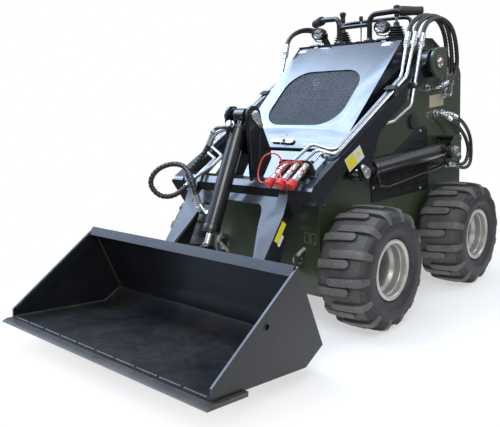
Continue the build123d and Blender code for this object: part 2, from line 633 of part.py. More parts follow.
with BuildPart() as hose_stubs:
    for _, s in SIDES:
        for route in (HOSE_STUBS if s > 0 else HOSE_STUBS[:2]) + LIFT_STUBS:
            pipe([(s * x, y, z) for x, y, z in route], 9.5, radii=[14])
finish(hose_stubs, "hose_stubs")

with BuildPart() as tilt_hoses:
    for route in TILT_HOSES:
        radii_seen += pipe(route, HOSE_R)
finish(tilt_hoses, "tilt_hoses")

print("hose radii mm:", [round(r) for r in radii_seen])
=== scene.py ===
import bpy, bmesh, math, random
from mathutils import Vector, Matrix


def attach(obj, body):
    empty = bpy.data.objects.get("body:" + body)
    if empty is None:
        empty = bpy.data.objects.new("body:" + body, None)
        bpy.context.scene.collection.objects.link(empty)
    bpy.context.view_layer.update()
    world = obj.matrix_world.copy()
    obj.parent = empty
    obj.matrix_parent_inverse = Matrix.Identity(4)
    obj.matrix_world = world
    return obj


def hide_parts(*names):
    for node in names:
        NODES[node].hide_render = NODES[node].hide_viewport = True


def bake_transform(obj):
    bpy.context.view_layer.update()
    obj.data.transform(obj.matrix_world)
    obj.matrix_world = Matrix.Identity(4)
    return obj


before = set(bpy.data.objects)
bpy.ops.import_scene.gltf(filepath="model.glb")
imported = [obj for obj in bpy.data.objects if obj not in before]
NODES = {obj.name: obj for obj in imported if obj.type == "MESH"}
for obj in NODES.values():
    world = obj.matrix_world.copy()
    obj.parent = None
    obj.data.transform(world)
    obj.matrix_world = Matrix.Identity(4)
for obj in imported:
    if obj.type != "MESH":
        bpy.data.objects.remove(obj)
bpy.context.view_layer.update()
scene = bpy.context.scene
rng = random.Random(7)

DY = -179.1


def P(x, y, z):
    """Millimetres, y from the front axle, to the row frame in metres."""
    return Vector((x, y + DY, z)) / 1000.0


# ------------------------------------------------------------------ camera
def make_camera():
    fwd = Vector((-0.6487, 0.7453, -0.1532)).normalized()
    right = fwd.cross(Vector((0, 0, 1))).normalized()
    up = right.cross(fwd)
    r = math.radians(-1.805)
    right2 = right * math.cos(r) + up * math.sin(r)
    up2 = up * math.cos(r) - right * math.sin(r)
    cam = bpy.data.cameras.new("camera")
    cam.lens, cam.sensor_width, cam.sensor_fit = 45.08, 36.0, "HORIZONTAL"
    cam.shift_x, cam.shift_y = -0.0664, -0.0369
    cam.clip_start, cam.clip_end = 0.05, 200
    ob = bpy.data.objects.new("camera", cam)
    m = Matrix((right2, up2, -fwd)).transposed().to_4x4()
    m.translation = Vector((1.675, -2.1201, 0.869))
    ob.matrix_world = m
    scene.collection.objects.link(ob)
    scene.camera = ob


make_camera()


# ------------------------------------------------------------------ materials
def new_mat(name):
    m = bpy.data.materials.new(name)
    m.use_nodes = True
    nt = m.node_tree
    bsdf = nt.nodes["Principled BSDF"]
    return m, nt, bsdf


def node(nt, kind, **kw):
    n = nt.nodes.new(kind)
    for k, v in kw.items():
        if k.startswith("in_"):
            n.inputs[k[3:].replace("_", " ")].default_value = v
        else:
            setattr(n, k, v)
    return n


def ramp(nt, src, stops):
    n = nt.nodes.new("ShaderNodeValToRGB")
    while len(n.color_ramp.elements) < len(stops):
        n.color_ramp.elements.new(0.5)
    for e, (p, c) in zip(n.color_ramp.elements, stops):
        e.position = p
        e.color = (*c, 1) if isinstance(c, tuple) else (c, c, c, 1)
    nt.links.new(src, n.inputs["Fac"])
    return n.outputs["Color"]


def math_node(nt, op, a, b=None, clamp=False):
    n = nt.nodes.new("ShaderNodeMath")
    n.operation, n.use_clamp = op, clamp
    for i, v in enumerate((a, b)):
        if v is None:
            continue
        if isinstance(v, (int, float)):
            n.inputs[i].default_value = v
        else:
            nt.links.new(v, n.inputs[i])
    return n.outputs[0]


def mix_col(nt, fac, a, b, mode="MIX"):
    n = nt.nodes.new("ShaderNodeMix")
    n.data_type, n.blend_type = "RGBA", mode
    for name, v in (("Factor", fac), ("A", a), ("B", b)):
        sock = [s for s in n.inputs if s.name == name and s.enabled][0]
        if isinstance(v, tuple):
            sock.default_value = (*v, 1)
        elif isinstance(v, (int, float)):
            sock.default_value = v
        else:
            nt.links.new(v, sock)
    return [s for s in n.outputs if s.enabled][0]


def coords(nt, scale=(1, 1, 1)):
    tc = nt.nodes.new("ShaderNodeTexCoord")
    mp = nt.nodes.new("ShaderNodeMapping")
    mp.inputs["Scale"].default_value = scale
    nt.links.new(tc.outputs["Object"], mp.inputs["Vector"])
    return mp.outputs["Vector"]


def noise(nt, vec, scale, detail=4, rough=0.55, distortion=0.0):
    n = node(nt, "ShaderNodeTexNoise", in_Scale=scale, in_Detail=detail, in_Roughness=rough,
             in_Distortion=distortion)
    nt.links.new(vec, n.inputs["Vector"])
    return n.outputs["Fac"]


def finish_mat(name, base, tone, rough, rough_spread=0.08, metal=0.0, coat=0.0, coat_rough=0.04,
               spec=0.5, tone_scale=5.0, dust=None, dust_amt=0.0, dust_scale=14.0, dust_up=0.5,
               wear=None, wear_amt=0.0, peel=0.0, peel_scale=220.0, grain=None, stretch=(1, 1, 1),
               speck=0.0, coat_ior=1.5):
    """Painted or bare surface: tone drifts, dust gathers in patches and on upward faces, edges wear."""
    m, nt, b = new_mat(name)
    L = nt.links.new
    vec = coords(nt, stretch)
    n1 = noise(nt, vec, tone_scale, 6)
    col = mix_col(nt, ramp(nt, n1, [(0.3, 0.0), (0.72, 1.0)]), base, tone)
    if speck:
        n3 = noise(nt, vec, 420, 2)
        col = mix_col(nt, ramp(nt, n3, [(0.62, 0.0), (0.75, speck)]), col,
                      tuple(min(1.0, c * 2.6 + 0.02) for c in base))
    rough_fac = math_node(nt, "MULTIPLY_ADD", noise(nt, vec, tone_scale * 3.1, 5), rough_spread * 2)
    rough_fac.node.inputs[2].default_value = rough - rough_spread
    if dust:
        geo = nt.nodes.new("ShaderNodeNewGeometry")
        sep = nt.nodes.new("ShaderNodeSeparateXYZ")
        L(geo.outputs["Normal"], sep.inputs[0])
        up = math_node(nt, "MULTIPLY_ADD", sep.outputs["Z"], dust_up)
        up.node.inputs[2].default_value = 1.0 - dust_up
        patches = ramp(nt, noise(nt, vec, dust_scale, 8, 0.62, 0.4), [(0.38, 0.0), (0.7, 1.0)])
        fine = ramp(nt, noise(nt, vec, dust_scale * 9, 6, 0.7), [(0.35, 0.35), (0.7, 1.0)])
        fac = math_node(nt, "MULTIPLY", patches, fine)
        fac = math_node(nt, "MULTIPLY", fac, up)
        fac = math_node(nt, "MULTIPLY", fac, dust_amt, clamp=True)
        col = mix_col(nt, fac, col, dust)
        rough_fac = math_node(nt, "MULTIPLY_ADD", fac, 0.45)
        prev = noise(nt, vec, tone_scale * 3.1, 5)
        rr = math_node(nt, "MULTIPLY_ADD", prev, rough_spread * 2)
        rr.node.inputs[2].default_value = rough - rough_spread
        L(rr, rough_fac.node.inputs[2])
    if wear:
        bev = node(nt, "ShaderNodeBevel", samples=4)
        bev.inputs["Radius"].default_value = 0.0022
        geo2 = nt.nodes.new("ShaderNodeNewGeometry")
        dot = nt.nodes.new("ShaderNodeVectorMath")
        dot.operation = "DOT_PRODUCT"
        L(bev.outputs["Normal"], dot.inputs[0])
        L(geo2.outputs["Normal"], dot.inputs[1])
        edge = ramp(nt, dot.outputs["Value"], [(0.80, 1.0), (0.985, 0.0)])
        gaps = ramp(nt, noise(nt, vec, 38, 6, 0.7), [(0.42, 0.0), (0.62, 1.0)])
        wf = math_node(nt, "MULTIPLY", edge, gaps)
        wf = math_node(nt, "MULTIPLY", wf, wear_amt, clamp=True)
        col = mix_col(nt, wf, col, wear)
    L(col, b.inputs["Base Color"])
    L(rough_fac, b.inputs["Roughness"])
    b.inputs["Metallic"].default_value = metal
    b.inputs["Specular IOR Level"].default_value = spec
    b.inputs["Coat Weight"].default_value = coat
    b.inputs["Coat Roughness"].default_value = coat_rough
    b.inputs["Coat IOR"].default_value = coat_ior
    if peel or grain:
        bump = node(nt, "ShaderNodeBump", in_Strength=1.0, in_Distance=peel or grain[1])
        if grain:
            h = noise(nt, coords(nt, grain[2]), grain[0], 5, 0.6)
        else:
            h = noise(nt, vec, peel_scale, 3, 0.5)
        L(h, bump.inputs["Height"])
        L(bump.outputs["Normal"], b.inputs["Normal"])
        if coat:
            L(bump.outputs["Normal"], b.inputs["Coat Normal"])
    return m


DUST = (0.17, 0.135, 0.105)
M = {}
M["green"] = finish_mat("paint_green", (0.040, 0.054, 0.0255), (0.031, 0.042, 0.020), 0.42, 0.07,
                        coat=1.0, coat_rough=0.13, coat_ior=1.6, spec=0.3, dust=(0.10, 0.095, 0.070), dust_amt=0.22,
                        dust_scale=4.0, dust_up=0.35, wear=(0.15, 0.16, 0.12), wear_amt=0.4,
                        peel=0.00007, peel_scale=150)
M["black"] = finish_mat("paint_black", (0.0062, 0.0072, 0.0100), (0.0040, 0.0044, 0.0056), 0.30, 0.07,
                        coat=0.5, coat_rough=0.08, spec=0.35, dust=(0.085, 0.070, 0.057), dust_amt=0.32,
                        dust_scale=9.0, dust_up=0.7, wear=(0.13, 0.135, 0.14), wear_amt=0.5,
                        peel=0.00005, peel_scale=160)
M["bucket"] = finish_mat("paint_bucket", (0.0070, 0.0084, 0.0118), (0.0050, 0.0060, 0.0084), 0.40, 0.10,
                         coat=0.45, coat_rough=0.14, spec=0.3, dust=(0.070, 0.057, 0.046), dust_amt=0.50,
                         dust_scale=3.2, dust_up=0.5, wear=(0.20, 0.20, 0.20), wear_amt=0.6,
                         peel=0.00012, peel_scale=90)
M["navy"] = finish_mat("paint_navy", (0.0062, 0.0095, 0.0175), (0.0046, 0.0070, 0.0125), 0.22, 0.05,
                       coat=1.0, coat_rough=0.035, dust=(0.10, 0.11, 0.12), dust_amt=0.12,
                       dust_scale=5.0, dust_up=0.3, wear=(0.14, 0.15, 0.16), wear_amt=0.3,
                       peel=0.00004, peel_scale=120)
M["arm"] = finish_mat("paint_arm", (0.0052, 0.0070, 0.0125), (0.0038, 0.0050, 0.0085), 0.28, 0.06,
                      coat=0.55, coat_rough=0.07, spec=0.4, dust=(0.07, 0.07, 0.07), dust_amt=0.16,
                      dust_scale=6.0, dust_up=0.5, wear=(0.14, 0.15, 0.16), wear_amt=0.5,
                      peel=0.00005, peel_scale=140)
M["cyl"] = finish_mat("paint_cylinder", (0.0075, 0.0080, 0.0100), (0.0110, 0.0105, 0.0110), 0.28, 0.06,
                      coat=0.5, coat_rough=0.08, dust=(0.08, 0.070, 0.060), dust_amt=0.2,
                      dust_scale=7.0, dust_up=0.4, wear=(0.12, 0.12, 0.12), wear_amt=0.4,
                      peel=0.00004, stretch=(1, 1, 1))
M["cylt"] = finish_mat("paint_cylinder_dusty", (0.014, 0.0135, 0.0140), (0.026, 0.0215, 0.0175), 0.28, 0.06,
                       coat=0.5, coat_rough=0.08, dust=(0.10, 0.075, 0.055), dust_amt=0.4,
                       dust_scale=7.0, dust_up=0.4, wear=(0.12, 0.12, 0.12), wear_amt=0.4,
                       peel=0.00004, stretch=(1, 1, 1))
M["vent"] = finish_mat("cover_black", (0.0085, 0.0088, 0.0100), (0.0060, 0.0062, 0.0070), 0.58, 0.08,
                       coat=0.08, coat_rough=0.3, spec=0.22, dust=(0.07, 0.062, 0.052), dust_amt=0.25,
                       dust_scale=6.0, dust_up=0.5, peel=0.00010, peel_scale=240)
M["hook"] = finish_mat("hook_pale", (0.40, 0.43, 0.36), (0.33, 0.36, 0.30), 0.45, 0.08,
                       dust=DUST, dust_amt=0.25, dust_scale=40, peel=0.00004)
# black mesh with a light blue-grey base colour: painted sky reflection
M["grille"] = finish_mat("mesh_black_painted_sheen", (0.105, 0.125, 0.160), (0.070, 0.083, 0.108), 0.30, 0.08,
                         coat=0.8, coat_rough=0.12, dust=(0.12, 0.12, 0.12), dust_amt=0.4, dust_scale=12, peel=0.0)
# near-black for painted shade: louvre openings, shadows under louvre lips, rim hand holes
M["dark"] = finish_mat("painted_shade_black", (0.005, 0.005, 0.006), (0.008, 0.008, 0.009), 0.7, 0.1,
                       peel=0.0001, peel_scale=300)
M["cast"] = finish_mat("cast_grey", (0.11, 0.115, 0.12), (0.075, 0.08, 0.085), 0.55, 0.1, metal=0.35,
                       dust=DUST, dust_amt=0.5, peel=0.0003, peel_scale=400)
M["motor"] = finish_mat("motor_iron", (0.018, 0.018, 0.019), (0.03, 0.029, 0.028), 0.5, 0.1,
                        dust=DUST, dust_amt=0.5, peel=0.0003, peel_scale=350)
M["lever"] = finish_mat("lever_steel", (0.30, 0.30, 0.30), (0.20, 0.20, 0.21), 0.42, 0.1, metal=0.85,
                        dust=DUST, dust_amt=0.5, peel=0.0001)
M["rubber"] = finish_mat("control_rubber", (0.012, 0.0125, 0.014), (0.020, 0.020, 0.021), 0.55, 0.1,
                         dust=(0.09, 0.085, 0.08), dust_amt=0.4, dust_scale=30, peel=0.00012,
                         peel_scale=600, speck=0.3)
M["hose"] = finish_mat("hose_rubber", (0.0105, 0.0105, 0.0115), (0.018, 0.0175, 0.0175), 0.44, 0.1,
                       coat=0.15, coat_rough=0.25, dust=(0.085, 0.075, 0.065), dust_amt=0.5,
                       dust_scale=18, dust_up=0.3, peel=0.00015, peel_scale=500)
M["zinc"] = finish_mat("zinc_plate", (0.72, 0.74, 0.76), (0.60, 0.62, 0.64), 0.24, 0.08, metal=0.92,
                       dust=(0.40, 0.36, 0.30), dust_amt=0.4, dust_scale=22, dust_up=0.3,
                       grain=(60, 0.00004, (1, 1, 1)))
M["nut"] = finish_mat("zinc_yellow", (0.66, 0.60, 0.47), (0.55, 0.52, 0.44), 0.32, 0.08, metal=0.85,
                      dust=(0.3, 0.25, 0.18), dust_amt=0.4, dust_scale=40, peel=0.00004)
M["brass"] = finish_mat("brass", (0.62, 0.42, 0.17), (0.48, 0.33, 0.14), 0.34, 0.08, metal=0.95,
                        peel=0.00005)
M["chrome"] = finish_mat("rod_chrome", (0.86, 0.84, 0.82), (0.80, 0.78, 0.75), 0.11, 0.04, metal=1.0,
                         dust=(0.42, 0.36, 0.3), dust_amt=0.3, dust_scale=30)
M["red"] = finish_mat("cap_red", (0.62, 0.028, 0.022), (0.50, 0.020, 0.018), 0.34, 0.06, coat=0.25,
                      coat_rough=0.2, dust=(0.5, 0.2, 0.15), dust_amt=0.25, dust_scale=40,
                      peel=0.00006, peel_scale=500)
M["rim"] = finish_mat("rim_silver", (0.56, 0.545, 0.515), (0.47, 0.455, 0.425), 0.33, 0.07, metal=0.62,
                      coat=0.3, coat_rough=0.15, dust=(0.22, 0.19, 0.155), dust_amt=0.5,
                      dust_scale=9, dust_up=0.3, wear=(0.75, 0.75, 0.75), wear_amt=0.4,
                      peel=0.00005)
# the rim's silver darkened for the recessed disc and hub cap: painted shade
M["rim_painted_shade"] = finish_mat("rim_disc_painted_shade", (0.21, 0.21, 0.205), (0.15, 0.15, 0.145), 0.42, 0.08, metal=0.55,
                          dust=(0.16, 0.135, 0.11), dust_amt=0.5, dust_scale=9, peel=0.0001)
M["yellow"] = finish_mat("label_yellow", (0.78, 0.66, 0.035), (0.72, 0.60, 0.03), 0.32, 0.05,
                         dust=DUST, dust_amt=0.2, dust_scale=30, peel=0.00003)
M["white"] = finish_mat("label_white", (0.70, 0.70, 0.68), (0.62, 0.62, 0.60), 0.34, 0.05,
                        dust=DUST, dust_amt=0.25, dust_scale=30, peel=0.00003)
M["beige"] = finish_mat("plate_beige", (0.55, 0.47, 0.32), (0.48, 0.41, 0.28), 0.4, 0.06,
                        dust=DUST, dust_amt=0.3, dust_scale=25, peel=0.00004)
M["palegreen"] = finish_mat("outline_pale", (0.22, 0.24, 0.18), (0.16, 0.18, 0.13), 0.5, 0.08,
                            peel=0.00004)
M["weld"] = finish_mat("weld_bead", (0.016, 0.017, 0.02), (0.03, 0.028, 0.026), 0.42, 0.1, coat=0.3,
                       dust=(0.1, 0.08, 0.065), dust_amt=0.5, peel=0.0002, peel_scale=260)
M["blade"] = finish_mat("edge_steel", (0.020, 0.0205, 0.0215), (0.045, 0.04, 0.035), 0.38, 0.1,
                        coat=0.2, dust=(0.10, 0.08, 0.062), dust_amt=0.6, dust_scale=6,
                        wear=(0.42, 0.42, 0.42), wear_amt=0.9, peel=0.0001, peel_scale=120)
M["reflect"] = finish_mat("lamp_bowl", (0.85, 0.85, 0.86), (0.75, 0.75, 0.76), 0.12, 0.04, metal=1.0,
                          peel=0.00003)
M["tread"] = finish_mat("tread_black", (0.02, 0.021, 0.022), (0.035, 0.033, 0.03), 0.5, 0.1,
                        dust=DUST, dust_amt=0.7, dust_scale=8, wear=(0.3, 0.3, 0.3), wear_amt=0.8,
                        peel=0.0002)


def glass_mat():
    m, nt, b = new_mat("lamp_glass")
    vec = coords(nt)
    n1 = noise(nt, vec, 180, 3)
    r = math_node(nt, "MULTIPLY_ADD", n1, 0.05)
    r.node.inputs[2].default_value = 0.03
    nt.links.new(r, b.inputs["Roughness"])
    nt.links.new(mix_col(nt, n1, (0.95, 0.97, 1.0), (0.88, 0.9, 0.93)), b.inputs["Base Color"])
    b.inputs["Transmission Weight"].default_value = 1.0
    b.inputs["IOR"].default_value = 1.2
    return m


M["glass"] = glass_mat()


def tyre_mat():
    """Rubber: dark moulded sidewall, brown-grey dusty lug tops from a stored mask."""
    m, nt, b = new_mat("tyre_rubber")
    L = nt.links.new
    vec = coords(nt)
    at = nt.nodes.new("ShaderNodeAttribute")
    at.attribute_name = "dusty"
    n1 = noise(nt, vec, 16, 8, 0.65)
    n2 = noise(nt, vec, 130, 6, 0.7)
    base = mix_col(nt, ramp(nt, n1, [(0.3, 0.0), (0.7, 1.0)]), (0.0125, 0.0138, 0.0165), (0.022, 0.023, 0.026))
    grime = mix_col(nt, ramp(nt, n2, [(0.35, 0.0), (0.68, 1.0)]), (0.118, 0.110, 0.104), (0.198, 0.186, 0.176))
    f = math_node(nt, "MULTIPLY", at.outputs["Fac"], ramp(nt, n1, [(0.22, 0.45), (0.62, 1.0)]), clamp=True)
    thin = math_node(nt, "MULTIPLY", ramp(nt, noise(nt, vec, 7, 6, 0.6), [(0.45, 0.0), (0.75, 0.22)]), 1.0)
    f = math_node(nt, "MAXIMUM", f, thin)
    L(mix_col(nt, f, base, grime), b.inputs["Base Color"])
    r = math_node(nt, "MULTIPLY_ADD", f, 0.3)
    r.node.inputs[2].default_value = 0.50
    L(r, b.inputs["Roughness"])
    b.inputs["Specular IOR Level"].default_value = 0.45
    bump = node(nt, "ShaderNodeBump", in_Strength=1.0, in_Distance=0.0005)
    L(n2, bump.inputs["Height"])
    L(bump.outputs["Normal"], b.inputs["Normal"])
    return m


M["tyre"] = tyre_mat()


# ------------------------------------------------------------------ mesh helpers
def basis(d):
    d = Vector(d).normalized()
    a = Vector((0, 0, 1)) if abs(d.z) < 0.9 else Vector((1, 0, 0))
    u = d.cross(a).normalized()
    return u, d.cross(u).normalized(), d


def rounded(prof, r, n=3, closed=False):
    """Profile with its corners rounded by up to r."""
    out = []
    k = len(prof)
    for i, p in enumerate(prof):
        if not closed and i in (0, k - 1):
            out.append(p)
            continue
        a, b, c = Vector(prof[i - 1]), Vector(p), Vector(prof[(i + 1) % k])
        u, v = (a - b), (c - b)
        lu, lv = u.length, v.length
        if lu < 1e-9 or lv < 1e-9:
            continue
        u, v = u / lu, v / lv
        cosang = max(-1, min(1, u.dot(v)))
        ang = math.acos(cosang)
        if ang > math.radians(172):
            out.append(p)
            continue
        t = min(r / math.tan(ang / 2) if ang > 0.05 else r, 0.42 * lu, 0.42 * lv)
        for j in range(n + 1):
            s = j / n
            q = (b + u * t) * (1 - s) ** 2 + b * (2 * s * (1 - s)) + (b + v * t) * s ** 2
            out.append((q.x, q.y))
    return out


class Geo:
    def __init__(self):
        self.v, self.f, self.mi, self.mats, self.attr = [], [], [], [], []

    def m(self, name):
        if name not in self.mats:
            self.mats.append(name)
        return self.mats.index(name)

    def add(self, verts, faces, mat, attr=None):
        o = len(self.v)
        self.v += [tuple(x) for x in verts]
        self.attr += list(attr) if attr is not None else [0.0] * len(verts)
        k = self.m(mat)
        for f in faces:
            self.f.append([o + i for i in f])
            self.mi.append(k)

    def revolve(self, o, d, prof, mat, n=32, phase=0.0, attr=None, closed=False):
        """Lathe of (t, r) points, in metres, about the axis through o along d."""
        u, w, d = basis(d)
        verts, faces, rings, at = [], [], [], []
        for j, (t, r) in enumerate(prof):
            if r < 1e-7:
                rings.append([len(verts)])
                verts.append(o + d * t)
                at.append(attr[j] if attr else 0.0)
            else:
                ring = []
                for i in range(n):
                    a = 2 * math.pi * i / n + phase
                    ring.append(len(verts))
                    verts.append(o + d * t + (u * math.cos(a) + w * math.sin(a)) * r)
                    at.append(attr[j] if attr else 0.0)
                rings.append(ring)
        pairs = list(zip(rings, rings[1:]))
        if closed:
            pairs.append((rings[-1], rings[0]))
        for a, b in pairs:
            if len(a) == 1 and len(b) == 1:
                continue
            for i in range(n):
                j = (i + 1) % n
                if len(a) == 1:
                    faces.append([a[0], b[i], b[j]])
                elif len(b) == 1:
                    faces.append([a[i], b[0], a[j]])
                else:
                    faces.append([a[i], b[i], b[j], a[j]])
        if not closed:
            if len(rings[0]) > 1:
                faces.append(list(rings[0]))
            if len(rings[-1]) > 1:
                faces.append(list(reversed(rings[-1])))
        self.add(verts, faces, mat, at)

    def sweep(self, pts, r, mat, n=12, rfun=None, caps=True):
        """Tube along points; rfun(distance, angle) gives the radius."""
        pts = [Vector(p) for p in pts]
        k = len(pts)
        tang = []
        for i in range(k):
            a, b = pts[max(0, i - 1)], pts[min(k - 1, i + 1)]
            tang.append((b - a).normalized())
        u, w, _ = basis(tang[0])
        verts, dist = [], 0.0
        for i, p in enumerate(pts):
            if i:
                dist += (p - pts[i - 1]).length
                q = tang[i - 1].rotation_difference(tang[i])
                u, w = (q @ u).normalized(), (q @ w).normalized()
            for j in range(n):
                a = 2 * math.pi * j / n
                rr = rfun(dist, a) if rfun else r
                verts.append(p + (u * math.cos(a) + w * math.sin(a)) * rr)
        faces = []
        for i in range(k - 1):
            for j in range(n):
                a, b = i * n + j, i * n + (j + 1) % n
                faces.append([a, b, b + n, a + n])
        if caps:
            faces.append(list(reversed(range(n))))
            faces.append(list(range((k - 1) * n, k * n)))
        self.add(verts, faces, mat)

    def from_bm(self, bm, mat):
        bm.verts.index_update()
        self.add([v.co.copy() for v in bm.verts], [[v.index for v in f.verts] for f in bm.faces], mat)
        bm.free()

    def rbox(self, lo, hi, mat, bevel=0.002, seg=2, matrix=None):
        """Box between two corners, in metres, with rounded edges."""
        bm = bmesh.new()
        bmesh.ops.create_cube(bm, size=1.0)
        lo, hi = Vector(lo), Vector(hi)
        lo, hi = Vector(map(min, lo, hi)), Vector(map(max, lo, hi))
        c, s = (lo + hi) / 2, hi - lo
        for v in bm.verts:
            v.co = Vector((v.co.x * s.x, v.co.y * s.y, v.co.z * s.z)) + c
        bevel = min(bevel, 0.45 * min(s))
        bmesh.ops.bevel(bm, geom=list(bm.edges), offset=bevel, segments=seg, profile=0.5, affect="EDGES")
        if matrix is not None:
            bmesh.ops.transform(bm, matrix=matrix, verts=list(bm.verts))
        bmesh.ops.recalc_face_normals(bm, faces=list(bm.faces))
        self.from_bm(bm, mat)

    def prism(self, outline, vec, mat, bevel=0.0008, seg=2):
        """Solid from a flat outline of 3-D points moved along vec, edges rounded."""
        bm = bmesh.new()
        vec = Vector(vec)
        a = [bm.verts.new(Vector(p)) for p in outline]
        b = [bm.verts.new(Vector(p) + vec) for p in outline]
        k = len(outline)
        bm.faces.new(a)
        bm.faces.new(list(reversed(b)))
        for i in range(k):
            j = (i + 1) % k
            bm.faces.new([a[i], b[i], b[j], a[j]])
        bmesh.ops.recalc_face_normals(bm, faces=list(bm.faces))
        if bevel:
            rim = [e for e in bm.edges if len(e.link_faces) == 2
                   and (len(e.link_faces[0].verts) > 4 or len(e.link_faces[1].verts) > 4
                        or e.calc_face_angle(0) > 0.6)
                   and e.calc_face_angle(0) > 0.6]
            bmesh.ops.bevel(bm, geom=rim, offset=min(bevel, 0.45 * vec.length), segments=seg,
                            profile=0.5, affect="EDGES", clamp_overlap=True)
        self.from_bm(bm, mat)

    def bolt(self, p, d, r, mat="zinc", washer=True, dome=False):
        """Washer and hexagon head standing on p along d; r is the thread's radius."""
        d = Vector(d).normalized()
        t = 0.0
        if washer:
            self.revolve(p, d, rounded([(0, 0), (0, r * 2.1), (r * 0.35, r * 2.1), (r * 0.35, 0)], r * 0.12, 1),
                         mat, 20)
            t = r * 0.35
        if dome:
            self.revolve(p + d * t, d, [(0, r * 1.6), (r * 0.5, r * 1.5), (r * 0.85, r * 1.1), (r * 1.0, r * 0.55),
                                        (r * 0.7, r * 0.5), (r * 0.65, 0)], mat, 20)
        else:
            self.revolve(p + d * t, d, [(0, r * 1.72), (r * 1.0, r * 1.72), (r * 1.2, r * 1.45), (r * 1.2, 0)],
                         mat, 6, phase=rng.random() * 3)

    def hexa(self, p, d, r, h, mat, phase=0.0):
        self.revolve(p, d, [(0, r * 0.93), (h * 0.08, r), (h * 0.92, r), (h, r * 0.93)], mat, 6, phase)

    def bead(self, a, b, r, mat="weld", pitch=0.0035):
        """Weld run from a to b with overlapping ripples."""
        a, b = Vector(a), Vector(b)
        n = max(4, int((b - a).length / (pitch / 2.5)))
        pts = [a.lerp(b, i / n) for i in range(n + 1)]
        self.sweep(pts, r, mat, 8,
                   lambda s, t: r * (1 + 0.16 * abs(math.sin(math.pi * s / pitch)) + 0.05 * math.sin(s * 310)))

    def make(self, name, body, replaces=(), angle=32, attr_name=None):
        me = bpy.data.meshes.new(name)
        me.from_pydata(self.v, [], self.f)
        for k in self.mats:
            me.materials.append(M[k])
        me.polygons.foreach_set("material_index", self.mi)
        if attr_name:
            at = me.attributes.new(attr_name, "FLOAT", "POINT")
            at.data.foreach_set("value", self.attr)
        me.polygons.foreach_set("use_smooth", [True] * len(self.f))
        me.update()
        me.set_sharp_from_angle(angle=math.radians(angle))
        ob = bpy.data.objects.new(name, me)
        scene.collection.objects.link(ob)
        if body:
            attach(ob, body)
        if replaces:
            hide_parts(*replaces)
        return ob


def spline(name, pts):
    """Points along the NURBS curve that has pts as its control points."""
    cu = bpy.data.curves.new(name, "CURVE")
    cu.dimensions, cu.resolution_u = "3D", 24
    sp = cu.splines.new("NURBS")
    sp.points.add(len(pts) - 1)
    for q, p in zip(sp.points, pts):
        q.co = (*p, 1.0)
    sp.order_u = 3
    sp.use_endpoint_u = True
    ob = bpy.data.objects.new(name, cu)
    scene.collection.objects.link(ob)
    bpy.context.view_layer.update()
    me = bpy.data.meshes.new_from_object(ob)
    out = [v.co.copy() for v in me.vertices]
    bpy.data.objects.remove(ob)
    bpy.data.curves.remove(cu)
    bpy.data.meshes.remove(me)
    return out


def resample(pts, step):
    total = sum((b - a).length for a, b in zip(pts, pts[1:]))
    n = max(2, int(round(total / step)))
    out, i, acc = [pts[0].copy()], 0, 0.0
    for k in range(1, n):
        want = total * k / n
        while acc + (pts[i + 1] - pts[i]).length < want:
            acc += (pts[i + 1] - pts[i]).length
            i += 1
        seg = (pts[i + 1] - pts[i]).length
        out.append(pts[i].lerp(pts[i + 1], (want - acc) / seg))
    out.append(pts[-1].copy())
    return out, total


def mir(route, s):
    return [(s * x, y, z) for x, y, z in route]


# ------------------------------------------------------------------ hoses
HOSE_R = 0.0095
LIFT_R = 0.0085


def hose(name, route, a, b, nodes=(), wrap=0.0, r=HOSE_R, mat="hose",
         step=0.0028, n=16):
    pts, total = resample(spline(name, [P(*q) for q in route]), step)
    g = Geo()
    pitch = 0.0155

    def rad(s, t):
        if not wrap:
            return r
        ph = (s / pitch - t / (2 * math.pi)) % 1.0
        return r * (1 + wrap * (0.55 if 0.14 < ph < 0.86 else -0.9))

    g.sweep(pts, r, mat, n, rad)
    ob = g.make(name, None, (), 50)
    if a == b:
        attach(ob, a)
    else:
        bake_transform(ob)
    if nodes:
        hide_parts(*nodes)
    return ob, total


BOOM_HOSES = (
    [(330, 424.5, 1111.4), (330, 437.6, 1151), (330, 520, 1194), (328, 617, 1207), (326, 710, 1187),
     (324, 771, 1126), (322, 794, 1040), (320, 801, 963)],
    [(352, 443.6, 1111.4), (352, 461.6, 1155.7), (352, 554, 1196), (350, 654, 1201), (348, 741, 1171),
     (345, 785, 1096), (342, 809, 1010), (340, 807, 938)],
    [(373, 469.5, 1105.4), (373, 486, 1154), (372, 576, 1188), (370, 676, 1188), (367, 760, 1153),
     (364, 803, 1082), (361, 823, 990), (358, 795, 934), (356, 704, 910)],
)
LIFT_HOSES = (
    [(330, 856, 760), (330, 925, 741), (330, 993, 701), (329, 1046, 646), (328, 1060, 580),
     (328, 1052, 510), (328, 980, 494), (328, 885, 522), (328, 799, 532.7)],
    [(338, 784, 755), (340, 847, 730), (343, 904, 694), (346, 957, 648), (348, 988, 588),
     (348, 958, 530), (348, 888, 522), (348, 799, 534.8)],
)
TILT_HOSES = (
    [(-92.6, -316.2, 722.8), (-113, -323.5, 683.4), (-134, -344, 646), (-156, -366, 612),
     (-179.6, -371.5, 585), (-193, -352, 569)],
    [(-218.9, -331.4, 544.3), (-216, -368, 524.4), (-234, -408, 502), (-268, -446, 508),
     (-296, -466, 556), (-276, -450, 606), (-234, -416, 632), (-186, -390, 630), (-140, -396, 606),
     (-105, -412, 578), (-88.8, -416.7, 545), (-80.2, -411.2, 498.6)],
)
for sname, s in (("left", 1), ("right", -1)):
    for i, route in enumerate(BOOM_HOSES if s > 0 else BOOM_HOSES[:2]):
        hose(f"boom_hose_{sname}_{i + 1}", mir(route, s), "loader_arms", "chassis",
             [f"boom_hoses_{sname}"] if i == 0 else (), wrap=0.07)
    for i, route in enumerate(LIFT_HOSES):
        hose(f"lift_hose_{sname}_{i + 1}", mir(route, s), "chassis", f"lift_barrel_{sname}",
             ["lift_cylinder_hoses"] if i == 0 and s > 0 else (),
             wrap=0.0 if i else 0.05, r=LIFT_R)
